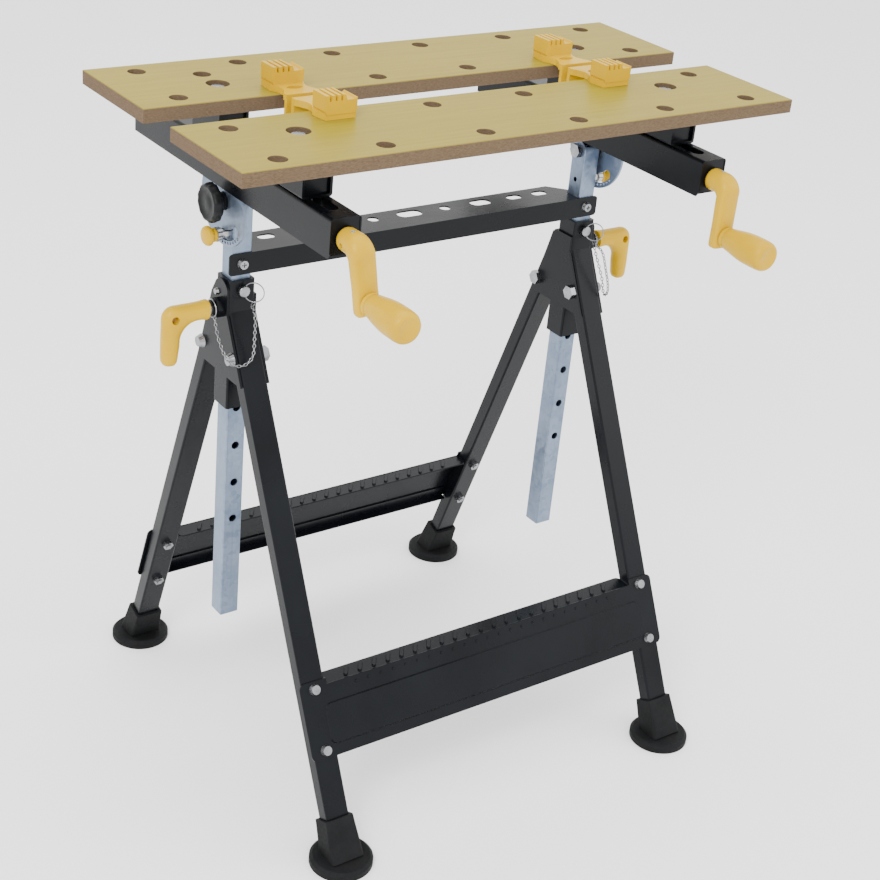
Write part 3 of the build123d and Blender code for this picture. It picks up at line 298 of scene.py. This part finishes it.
def rubber():
    """Matt black rubber with moulding dust."""
    foot = Shader("black_rubber", 0.72, 0.0, 0.13)
    dust = foot.noise(350, 5, 0.7)
    patches = foot.noise(35, 3)
    base = foot.blend(foot.spread(patches, 0.35, 0.7), (0.0035, 0.0038, 0.0042), (0.007, 0.0072, 0.0078))
    foot.colour(foot.blend(foot.spread(dust, 0.6, 0.8, 0, 0.3), base, (0.022, 0.0215, 0.021)))
    foot.rough(foot.spread(dust, 0.3, 0.7, 0.6, 0.82))
    foot.bumps((dust, 0.00015, 0.4))
    return foot.material


LOOKS = {
    "black_paint": black_paint(),
    "galvanised": galvanised(),
    "bright_zinc": bright_zinc(),
    "steel": threaded_steel(),
    "board": board_laminate(),
    "yellow_plastic": moulded("yellow_plastic", (0.47, 0.275, 0.0), (0.55, 0.335, 0.0),
                              roughness=0.3, grain_scale=900, grain_depth=0.00006),
    "black_plastic": moulded("black_plastic", (0.005, 0.0055, 0.006), (0.011, 0.0115, 0.012),
                             roughness=0.4, grain_scale=700, grain_depth=0.0001),
    "rubber": rubber(),
}


# --------------------------------------------------------------- mesh helpers
def piece(name, points, faces, look, body, replaces=(), smooth=True):
    """A mesh piece in the row frame that rides on a body and stands for CAD nodes."""
    mesh = bpy.data.meshes.new(name)
    mesh.from_pydata([tuple(p) for p in points], [], faces)
    shape = bmesh.new()
    shape.from_mesh(mesh)
    bmesh.ops.remove_doubles(shape, verts=shape.verts, dist=1e-6)
    bmesh.ops.recalc_face_normals(shape, faces=shape.faces)
    for face in shape.faces:
        face.smooth = smooth
    shape.to_mesh(mesh)
    shape.free()
    mesh.materials.append(LOOKS[look])
    thing = bpy.data.objects.new(name, mesh)
    bpy.context.scene.collection.objects.link(thing)
    if body:
        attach(thing, body)
    if replaces:
        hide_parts(*replaces)
    return thing


def skin(rings, closed=False):
    """Points and faces of a surface through rings of equal length, capped unless closed."""
    count = len(rings[0])
    points = [p for ring in rings for p in ring]
    faces = []
    for i in range(len(rings) if closed else len(rings) - 1):
        here, there = i * count, (i + 1) % len(rings) * count
        for j in range(count):
            k = (j + 1) % count
            faces.append((here + j, here + k, there + k, there + j))
    if not closed:
        faces.append(tuple(range(count))[::-1])
        faces.append(tuple((len(rings) - 1) * count + j for j in range(count)))
    return points, faces


def oval(centre, across, up, power=2.0, count=40):
    """Superellipse ring about centre, from two half-axis vectors."""
    ring = []
    for i in range(count):
        turn = tau * i / count
        c, s = cos(turn), sin(turn)
        along = abs(c) ** (2 / power) * (1 if c >= 0 else -1)
        over = abs(s) ** (2 / power) * (1 if s >= 0 else -1)
        ring.append(centre + across * along + up * over)
    return ring


def turned(origin, axis, profile, count, wave=None):
    """Rings of a turned shape.

    profile holds (distance along axis, radius), and wave changes the radius round the turn.
    """
    side = axis.orthogonal().normalized()
    other = axis.cross(side)
    rings = []
    for distance, radius in profile:
        ring = []
        for i in range(count):
            turn = tau * i / count
            r = radius if wave is None else wave(radius, turn)
            ring.append(origin + axis * distance + (side * cos(turn) + other * sin(turn)) * r)
        rings.append(ring)
    return rings


def soften(thing, width, segments, angle):
    """Rounded edges that catch the light."""
    bevel = thing.modifiers.new("edges", "BEVEL")
    bevel.width = width
    bevel.segments = segments
    bevel.limit_method = "ANGLE"
    bevel.angle_limit = radians(angle)
    bevel.harden_normals = True


def torus(centre, normal, radius, wire, count):
    """Rings of a round wire loop."""
    side = normal.orthogonal().normalized()
    other = normal.cross(side)
    rings = []
    for i in range(count):
        turn = tau * i / count
        out = side * cos(turn) + other * sin(turn)
        middle_of_wire = centre + out * radius
        rings.append(oval(middle_of_wire, out * wire, normal * wire, 2.0, WIRE_SECTION))
    return rings


def prism(outline, low, high):
    """Points and faces of a straight solid: an outline pushed from one offset to another."""
    return skin([[p + low for p in outline], [p + high for p in outline]])


def block(low, high):
    """Points and faces of a box between two corners."""
    outline = [Vector((low.x, low.y, 0)), Vector((high.x, low.y, 0)),
               Vector((high.x, high.y, 0)), Vector((low.x, high.y, 0))]
    return prism(outline, Vector((0, 0, low.z)), Vector((0, 0, high.z)))


def draft(name, shape):
    """A temporary object for a shape that is about to be joined or cut."""
    mesh = bpy.data.meshes.new(name)
    mesh.from_pydata([tuple(p) for p in shape[0]], [], shape[1])
    solid = bmesh.new()
    solid.from_mesh(mesh)
    bmesh.ops.recalc_face_normals(solid, faces=solid.faces)
    solid.to_mesh(mesh)
    solid.free()
    thing = bpy.data.objects.new(name, mesh)
    bpy.context.scene.collection.objects.link(thing)
    return thing


def carve(shape, joins=(), cuts=()):
    """Points and faces after joining closed shapes on and cutting others out."""
    base = draft("carved", shape)
    tools = []
    for operation, others in (("UNION", joins), ("DIFFERENCE", cuts)):
        for other in others:
            tool = draft("tool", other)
            step = base.modifiers.new("step", "BOOLEAN")
            step.operation = operation
            step.solver = "EXACT"
            step.object = tool
            tools.append(tool)
    bpy.context.view_layer.update()
    result = bpy.data.meshes.new_from_object(base.evaluated_get(bpy.context.evaluated_depsgraph_get()))
    points = [v.co.copy() for v in result.vertices]
    faces = [tuple(face.vertices) for face in result.polygons]
    bpy.data.meshes.remove(result)
    for thing in [base, *tools]:
        mesh = thing.data
        bpy.data.objects.remove(thing)
        bpy.data.meshes.remove(mesh)
    return points, faces


def rod(start, end, radius, count=40):
    """Points and faces of a round bar, used for holes."""
    axis = (end - start).normalized()
    return skin(turned(start, axis, [(0, radius), ((end - start).length, radius)], count))


# --------------------------------------------------------------------- chains
CHAIN_WIDTH = 3.5 * MM
LINK_PITCH = 3.4 * MM
LINK_LENGTH = 5.0 * MM
LINK_WIRE = 0.5 * MM
LINK_STEPS = 20
LINK_SECTION = 6
EYE_LENGTH = 7.4 * MM
EYE_SHIFT = 0.6 * MM
TANGENT_REACH = 1 * MM
CHAIN_ROUTES = {
    "left": [(-228.5, 20.6, 481.6), (-229, 16, 471), (-229.2, 9.5, 461), (-229.2, 2, 454),
             (-229.2, -6, 447.8), (-225.9, -10.5, 444.4), (-220.3, -13.2, 442.5),
             (-213.7, -13.2, 442.5), (-208.1, -13.2, 445.8), (-204.8, -13.2, 451.4),
             (-204.6, -13.1, 463), (-204.4, -13, 474), (-204, -12.7, 484.6),
             (-203.2, -10.2, 489.5), (-202, -5.8, 492.7), (-200.4, 2, 493.9)],
    "right": [(228.5, 20.6, 481.6), (229.8, 17, 472), (231, 12.5, 463), (231.5, 7.5, 454.5),
              (231.5, 3, 446.7), (230, 0.1, 441.1), (227.5, -5, 437.8), (224.5, -10.8, 437.8),
              (222, -15.9, 441.1), (220.5, -19.2, 447.3), (219.2, -18.4, 457), (217.4, -16.4, 466),
              (215.6, -14.5, 475), (214.2, -12.4, 484), (213.4, -9.2, 489), (212.4, -4.6, 492),
              (211.4, 1, 493.3)],
}


def route_line(name, points):
    """Points along the smooth line of a route, as Blender draws its NURBS curve."""
    curve = bpy.data.curves.new(name, "CURVE")
    curve.dimensions = "3D"
    curve.resolution_u = 24
    spline = curve.splines.new("NURBS")
    spline.points.add(len(points) - 1)
    for control, place in zip(spline.points, points):
        control.co = (*(value * MM for value in place), 1)
    spline.order_u = 3
    spline.use_endpoint_u = True
    holder = bpy.data.objects.new(name, curve)
    bpy.context.scene.collection.objects.link(holder)
    mesh = bpy.data.meshes.new_from_object(holder)
    line = [v.co.copy() for v in mesh.vertices]
    bpy.data.objects.remove(holder)
    bpy.data.meshes.remove(mesh)
    bpy.data.curves.remove(curve)
    return line


def link_rings(centre, ahead, side, length):
    """Rings of one chain link: a wire loop, longer than wide."""
    up = ahead.cross(side)
    rings = []
    for i in range(LINK_STEPS):
        turn = tau * i / LINK_STEPS
        out = ahead * cos(turn) * (length / 2 - LINK_WIRE)
        out = out + side * sin(turn) * (CHAIN_WIDTH / 2 - LINK_WIRE)
        thick = out.normalized() * LINK_WIRE
        rings.append(oval(centre + out, thick, up * LINK_WIRE, 2.0, LINK_SECTION))
    return rings


def place_along(line, steps, distance):
    """The point at a distance along a line, whose points lie at the distances in steps."""
    return Vector(np.array([np.interp(distance, steps, [p[k] for p in line]) for k in range(3)]))


def make_chain(word):
    """A chain of oval links, every other one turned a quarter, and an eye on the pin's ring."""
    line = route_line(f"route_{word}", CHAIN_ROUTES[word])
    steps = [0.0]
    for a, b in zip(line, line[1:]):
        steps.append(steps[-1] + (b - a).length)
    length = steps[-1]
    count = round(length / LINK_PITCH)
    points, faces = [], []
    twist = Vector((1, 0, 0))
    for i in range(count):
        at = (i + 0.5) * length / count
        centre = place_along(line, steps, at)
        before = place_along(line, steps, max(at - TANGENT_REACH, 0))
        after = place_along(line, steps, min(at + TANGENT_REACH, length))
        ahead = (after - before).normalized()
        twist = (twist - ahead * twist.dot(ahead)).normalized()
        side = Quaternion(ahead, radians(45 + 90 * (i % 2))) @ twist
        more, quads = skin(link_rings(centre, ahead, side, LINK_LENGTH), closed=True)
        faces += [tuple(k + len(points) for k in quad) for quad in quads]
        points += more
    chain = piece(f"chain_links_{word}", points, faces, "bright_zinc", None, [f"chain_{word}"])
    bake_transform(chain)
    low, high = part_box(f"pin_ring_{word}")
    hang = Vector(((low.x + high.x) / 2, (low.y + high.y) / 2, low.z))
    ahead = (hang - line[-1]).normalized()
    side = ahead.orthogonal().normalized()
    eye = (hang + line[-1]) / 2 + ahead * EYE_SHIFT
    points, faces = skin(link_rings(eye, ahead, side, EYE_LENGTH), closed=True)
    piece(f"chain_eye_{word}", points, faces, "bright_zinc", f"{word}_pin")


for word in SIDES:
    make_chain(word)


# ----------------------------------------------------------- cranks and grips
CRANK_ARM_HALF = 6 * MM
CRANK_ELBOW = 16 * MM
CROSS_HOLE_R = 2.2 * MM
# Plain millimetres, as in the profiles
CRANK_R = 10.8
CRANK_BEND_R = 10
ARM_LENGTH = 49


def crank_frame(word):
    """Screw axis point, unit vector down the arm, unit vector across it and the throw."""
    axis = middle(f"lead_screw_{word}")
    arm = middle(f"crank_grip_{word}")
    axis.y = arm.y = 0
    down = (arm - axis).normalized()
    return axis, down, Vector((0, 1, 0)).cross(down), (arm - axis).length


def make_crank(word):
    """Cast crank: a round hub that bends into a flat arm with a squared end."""
    axis, down, across, throw = crank_frame(word)
    back = Vector((0, 1, 0))
    elbow = CRANK_FRONT + CRANK_ELBOW
    hub = ((CRANK_BACK, 9.2), (CRANK_BACK - 0.6 * MM, 10.2), (CRANK_BACK - 3 * MM, 10.7),
           (elbow + 3 * MM, CRANK_R))
    arm = ((24, 11.5, 6), (36, 11.2, 6), (46, 11.4, 6), (55, 11.6, 6), (58.6, 11.4, 5.9),
           (60.2, 10.6, 5.4), (60.9, 9.2, 4.4))
    rings = []
    for y, radius in hub:
        rings.append(oval(axis + back * y, across * radius * MM, -down * radius * MM))
    for i in range(BEND_STEPS + 1):
        turn = radians(90 * i / BEND_STEPS)
        share = (i / BEND_STEPS) ** 2
        centre = axis + back * (elbow - CRANK_BEND_R * MM * sin(turn))
        centre = centre + down * CRANK_BEND_R * MM * (1 - cos(turn))
        depth = CRANK_R * MM * (1 - share) + CRANK_ARM_HALF * share
        width = (CRANK_R + 0.9 * i / BEND_STEPS) * MM
        outer = -down * cos(turn) - back * sin(turn)
        rings.append(oval(centre, across * width, outer * depth, 2 + 1.6 * i / BEND_STEPS))
    plane = axis + back * (CRANK_FRONT + CRANK_ARM_HALF)
    for along, width, depth in arm:
        place = plane + down * (along - ARM_LENGTH) * MM + down * throw
        rings.append(oval(place, across * width * MM, -back * depth * MM, 3.6))
    outward = -across if across.x * SIDES[word] < 0 else across
    spot = axis + back * (elbow + 4 * MM)
    hole = rod(spot + outward * 5 * MM, spot + outward * 14 * MM, CROSS_HOLE_R, 24)
    points, faces = carve(skin(rings), cuts=[hole])
    body = piece(f"crank_body_{word}", points, faces, "yellow_plastic", f"{word}_screw", [f"crank_{word}"])
    soften(body, 0.4 * MM, 2, 50)


def make_grip(word):
    """Barrel grip that swells towards its flat end."""
    centre = middle(f"crank_grip_{word}")
    start = Vector((centre.x, GRIP_BACK, centre.z))
    length = (GRIP_BACK - GRIP_FRONT) / MM
    profile = [(0, 8.6), (0.5, 9.8), (1.6, 10.4), (4, 10.5), (4.6, 10.1), (5.2, 10.6)]
    profile += [(5.2 + 5 * i, 10.6 + 4.2 * sin(pi / 2 * min(1, i / 6.5)) ** 1.2) for i in range(1, 9)]
    profile += [(length - 8, 14.7), (length - 4, 14.2), (length - 1.6, 13), (length - 0.4, 11.2),
                (length, 9), (length - 0.3, 8.6), (length - 0.3, 0.5)]
    rings = turned(start, Vector((0, -1, 0)), [(d * MM, r * MM) for d, r in profile], 72)
    points, faces = skin(rings)
    piece(f"grip_{word}", points, faces, "yellow_plastic", f"{word}_grip", [f"crank_grip_{word}"])


# ---------------------------------------------------------- knobs and handles
FINGER_HOLLOWS = 12
HOLLOW_SHARE = 0.022
RIM_FROM = 16 * MM


def scallops(radius, turn):
    """Shallow finger hollows round the rim of a knob."""
    if radius > RIM_FROM:
        return radius * (1 - HOLLOW_SHARE * (1 - cos(FINGER_HOLLOWS * turn)))
    return radius


def make_tilt_knob(word):
    """Round knob: a tapered shaft and a dished disc with a scalloped rim."""
    side = Vector((SIDES[word], 0, 0))
    start = Vector((SIDES[word] * KNOB_IN, POST_Y, KNOB_Z))
    profile = ((0, 8.6), (2.5, 7.8), (5.5, 8.0), (7.6, 10), (8.4, 14.5), (8.8, 17), (9.8, 18.3),
               (11.5, 18.5), (14.5, 18.4), (16.6, 17.6), (17.6, 16.4), (17.8, 15), (17.2, 13.8),
               (16.4, 12), (16.1, 7), (16.6, 5.6), (16.8, 0.5))
    rings = turned(start, side, [(d * MM, r * MM) for d, r in profile], 96, scallops)
    points, faces = skin(rings)
    piece(f"tilt_disc_{word}", points, faces, "black_plastic", f"{word}_tilt_knob", [f"tilt_knob_{word}"])


def make_plunger(word):
    """Pull knob: a thin stem, a collar and a mushroom head."""
    side = Vector((SIDES[word], 0, 0))
    start = Vector((SIDES[word] * PLUNGER_IN, POST_Y, PLUNGER_Z))
    profile = ((0, 2.4), (17.3, 2.4), (17.3, 6.2), (19.4, 6.5), (20.4, 5.7), (21.2, 5.8), (22.2, 8),
               (23.6, 9.2), (25.4, 9.3), (27.2, 8.7), (28.4, 7.4), (29, 5.6), (29.2, 3), (29.2, 0.4))
    rings = turned(start, side, [(d * MM, r * MM) for d, r in profile], 56)
    points, faces = skin(rings)
    piece(f"pull_knob_{word}", points, faces, "yellow_plastic", f"{word}_plunger", [f"tilt_plunger_{word}"])


def make_handle(word):
    """L-shaped handle: a flared inner end, a thick bend with a hole, and a tapering grip.

    Each pair holds an outer and an inner point of the silhouette, out and down from the screw.
    """
    sign = SIDES[word]
    bend = (HANDLE_OUT - HANDLE_IN) / MM - 9
    low = (CLAMP_Z - HANDLE_LOW) / MM
    pairs = [((0.4, -9.2), (2, 9.2)), ((1.2, -9.6), (2.8, 9.6)), ((4, -9.2), (5, 9.2)),
             ((9, -8.6), (7, 8.7)), ((18, -8.4), (8, 8.5)), ((27, -8.5), (8.8, 8.5))]
    for i in range(BEND_STEPS + 1):
        turn = radians(90 * i / BEND_STEPS)
        pairs.append(((bend - 2.5 + 11 * sin(turn), 2.5 - 11 * cos(turn)),
                      (bend - 27.5 + 19 * sin(turn), 27.5 - 19 * cos(turn))))
    pairs += [((bend + 8.7, 14), (bend - 8.3, 31)), ((bend + 8.9, 26), (bend - 7.8, 34)),
              ((bend + 9, 34), (bend - 7.2, 38))]
    tip = ((9, -6.8, 7.5), (8.6, -6.2, 4.2), (7.2, -4.8, 1.6), (4.6, -2.4, 0.3), (1.8, 0.4, 0))
    pairs += [((bend + outer, low - up), (bend + inner, low - up)) for outer, inner, up in tip]
    rings = []
    for outer, inner in pairs:
        places = [Vector((sign * (HANDLE_IN + u * MM), POST_Y, CLAMP_Z - v * MM))
                  for u, v in (outer, inner)]
        middle_point = (places[0] + places[1]) / 2
        across = (places[0] - places[1]) / 2
        thick = min(8.8 * MM, across.length * 1.02)
        rings.append(oval(middle_point, across, Vector((0, 1, 0)) * thick, 2.25, 44))
    spot = Vector((sign * (HANDLE_IN + (bend - 1.5) * MM), POST_Y, CLAMP_Z - 2.5 * MM))
    hole = rod(spot - Vector((0, 14 * MM, 0)), spot + Vector((0, 14 * MM, 0)), 3.8 * MM)
    points, faces = carve(skin(rings), cuts=[hole])
    body = piece(f"handle_{word}", points, faces, "yellow_plastic", f"{word}_clamp",
                 [f"clamp_handle_{word}"])
    soften(body, 0.5 * MM, 3, 50)


# ------------------------------------------------------ pin rings and boss loops
RING_INSET = 0.75 * MM
RING_WIRE_R = 0.5 * MM
RING_WIRE_HALF = 0.48 * MM
RING_WIND = 1.05 * MM
RING_STEPS = 56
RING_START = 0.4
LOOP_R = 8.4 * MM
LOOP_WIRE_R = 0.8 * MM


def make_ring(word):
    """Split ring: a wire wound twice round."""
    low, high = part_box(f"pin_ring_{word}")
    centre = (low + high) / 2
    radius = (high.z - low.z) / 2 - RING_INSET
    normal = Vector((-(high.y - low.y), -(high.x - low.x), 0)).normalized()
    side = normal.cross(Vector((0, 0, 1))).normalized()
    rings = []
    for i in range(2 * RING_STEPS + 1):
        turn = tau * i / RING_STEPS + RING_START
        out = side * cos(turn) + Vector((0, 0, 1)) * sin(turn)
        shift = normal * (i / (2 * RING_STEPS) - 0.5) * RING_WIND
        spot = centre + out * radius + shift
        rings.append(oval(spot, out * RING_WIRE_R, normal * RING_WIRE_HALF, 2.0, WIRE_SECTION))
    points, faces = skin(rings)
    piece(f"split_ring_{word}", points, faces, "bright_zinc", f"{word}_pin", [f"pin_ring_{word}"])


def make_boss_loop(word):
    """Wire loop round the neck of the clamp boss, where the chain starts."""
    centre = Vector((SIDES[word] * (BOSS_OUT - 2 * MM), POST_Y, CLAMP_Z))
    points, faces = skin(torus(centre, Vector((1, 0, 0)), LOOP_R, LOOP_WIRE_R, 56), closed=True)
    piece(f"boss_loop_{word}", points, faces, "bright_zinc", "stand")


# ----------------------------------------------------------------- bench dogs
DOG_HALF_DEPTH = 11 * MM
PEG_R = 8.3 * MM
LENS_STEPS = 28


def make_bench_dog(row, word):
    """Bench dog: a toothed block on a waisted tongue with an opening, a skirt and a peg."""
    node = f"{row}_dog_{word}"
    low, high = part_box(node)
    facing = 1 if row == "front" else -1
    x = (low.x + high.x) / 2
    back = low.y if facing > 0 else high.y
    y0 = back + facing * DOG_HALF_DEPTH

    def at(u, v, w):
        """A point in millimetres across, towards the gap and up from the board over the peg."""
        return Vector((x + u * MM, y0 + facing * v * MM, BOARD_TOP + w * MM))

    tongue_outline = ((-15.5, -10.5), (15.5, -10.5), (17.5, 8), (13.5, 16), (12.5, 23), (16, 31),
                      (18.8, 35), (18.8, 40.8), (-18.8, 40.8), (-18.8, 35), (-16, 31),
                      (-12.5, 23), (-13.5, 16), (-17.5, 8))
    crown_outline = ((-14.5, 5), (-16, 8), (-16, 22), (-12.4, 22), (-12, 16.6), (-10.2, 16.6),
                     (-9.8, 22), (-6.6, 22), (-6.2, 16.6), (-4.4, 16.6), (-4, 22), (-1, 22),
                     (-0.6, 16.6), (1.2, 16.6), (1.6, 22), (3.8, 22), (5.4, 17.2), (14, 17.2),
                     (15.2, 18.6), (16, 18.6), (16, 8), (14.5, 5))
    tongue = [at(u, v, 0) for u, v in tongue_outline]
    crown = [at(u, 0, w) for u, w in crown_outline]
    skirt_low, skirt_high = at(-18.8, 37.2, -16.8), at(18.8, 40.9, 6)
    if facing < 0:
        skirt_low.y, skirt_high.y = skirt_high.y, skirt_low.y
    peg = rod(at(0, 0, -11.8), at(0, 0, 2), PEG_R)
    lens = []
    for i in range(LENS_STEPS):
        turn = tau * i / LENS_STEPS
        lens.append(at(8.5 * cos(turn), 22.5 + 4.4 * sin(turn) * abs(sin(turn)) ** 0.5, 0))
    shape = prism(tongue, Vector((0, 0, 0.2 * MM)), Vector((0, 0, 6.2 * MM)))
    teeth = prism(crown, Vector((0, -DOG_HALF_DEPTH, 0)), Vector((0, DOG_HALF_DEPTH, 0)))
    opening = prism(lens, Vector((0, 0, 2.4 * MM)), Vector((0, 0, 9 * MM)))
    points, faces = carve(shape, [teeth, block(skirt_low, skirt_high), peg], [opening])
    body = piece(f"{row}_bench_dog_{word}", points, faces, "yellow_plastic", f"{row}_{word}_dog",
                 [node], smooth=False)
    soften(body, 0.7 * MM, 3, 30)


for word in SIDES:
    make_crank(word)
    make_grip(word)
    make_tilt_knob(word)
    make_plunger(word)
    make_handle(word)
    make_ring(word)
    make_boss_loop(word)
    make_bench_dog("front", word)
    make_bench_dog("rear", word)


# ---------------------------------------------------------- CAD nodes' looks
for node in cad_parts.values():
    for holder in node.material_slots:
        holder.material = LOOKS[holder.material.name]


# ------------------------------------------------------------ stage and camera
def area_light(name, place, target, size, power):
    """A square lamp that faces its target."""
    light = bpy.data.lights.new(name, "AREA")
    light.shape = "RECTANGLE"
    light.size = light.size_y = size
    light.energy = power
    lamp = bpy.data.objects.new(name, light)
    lamp.location = place
    lamp.rotation_euler = (Vector(target) - Vector(place)).to_track_quat("-Z", "Y").to_euler()
    bpy.context.scene.collection.objects.link(lamp)


def make_stage():
    """A wide pale floor, a pale sky and three soft lamps."""
    bpy.ops.mesh.primitive_plane_add(size=FLOOR_SIZE)
    floor = bpy.context.object
    floor.name = "floor"
    floor_look = Shader("pale_floor", 0.9)
    tone = floor_look.noise(3, 2)
    floor_look.colour(floor_look.blend(tone, (0.93, 0.93, 0.93), (0.96, 0.96, 0.96)))
    floor.data.materials.append(floor_look.material)
    world = bpy.data.worlds.new("studio")
    world.use_nodes = True
    sky = world.node_tree.nodes["Background"]
    sky.inputs["Color"].default_value = (1, 1, 1, 1)
    sky.inputs["Strength"].default_value = SKY_STRENGTH
    bpy.context.scene.world = world
    for lamp in LAMPS:
        area_light(*lamp)


def make_camera():
    """Camera at the front left, above the boards, with a small roll."""
    azimuth, elevation = radians(CAMERA_AZIMUTH), radians(CAMERA_ELEVATION)
    camera = bpy.data.cameras.new("camera")
    camera.lens = CAMERA_LENS
    camera.sensor_width = SENSOR_WIDTH
    look = Vector((sin(azimuth) * cos(elevation), cos(azimuth) * cos(elevation), -sin(elevation)))
    holder = bpy.data.objects.new("camera", camera)
    roll = Matrix.Rotation(radians(CAMERA_ROLL), 4, "Z")
    turn = look.to_track_quat("-Z", "Y").to_matrix().to_4x4() @ roll
    holder.matrix_world = Matrix.Translation(CAMERA_PLACE) @ turn
    bpy.context.scene.collection.objects.link(holder)
    bpy.context.scene.camera = holder


make_stage()
make_camera()
bpy.context.view_layer.update()
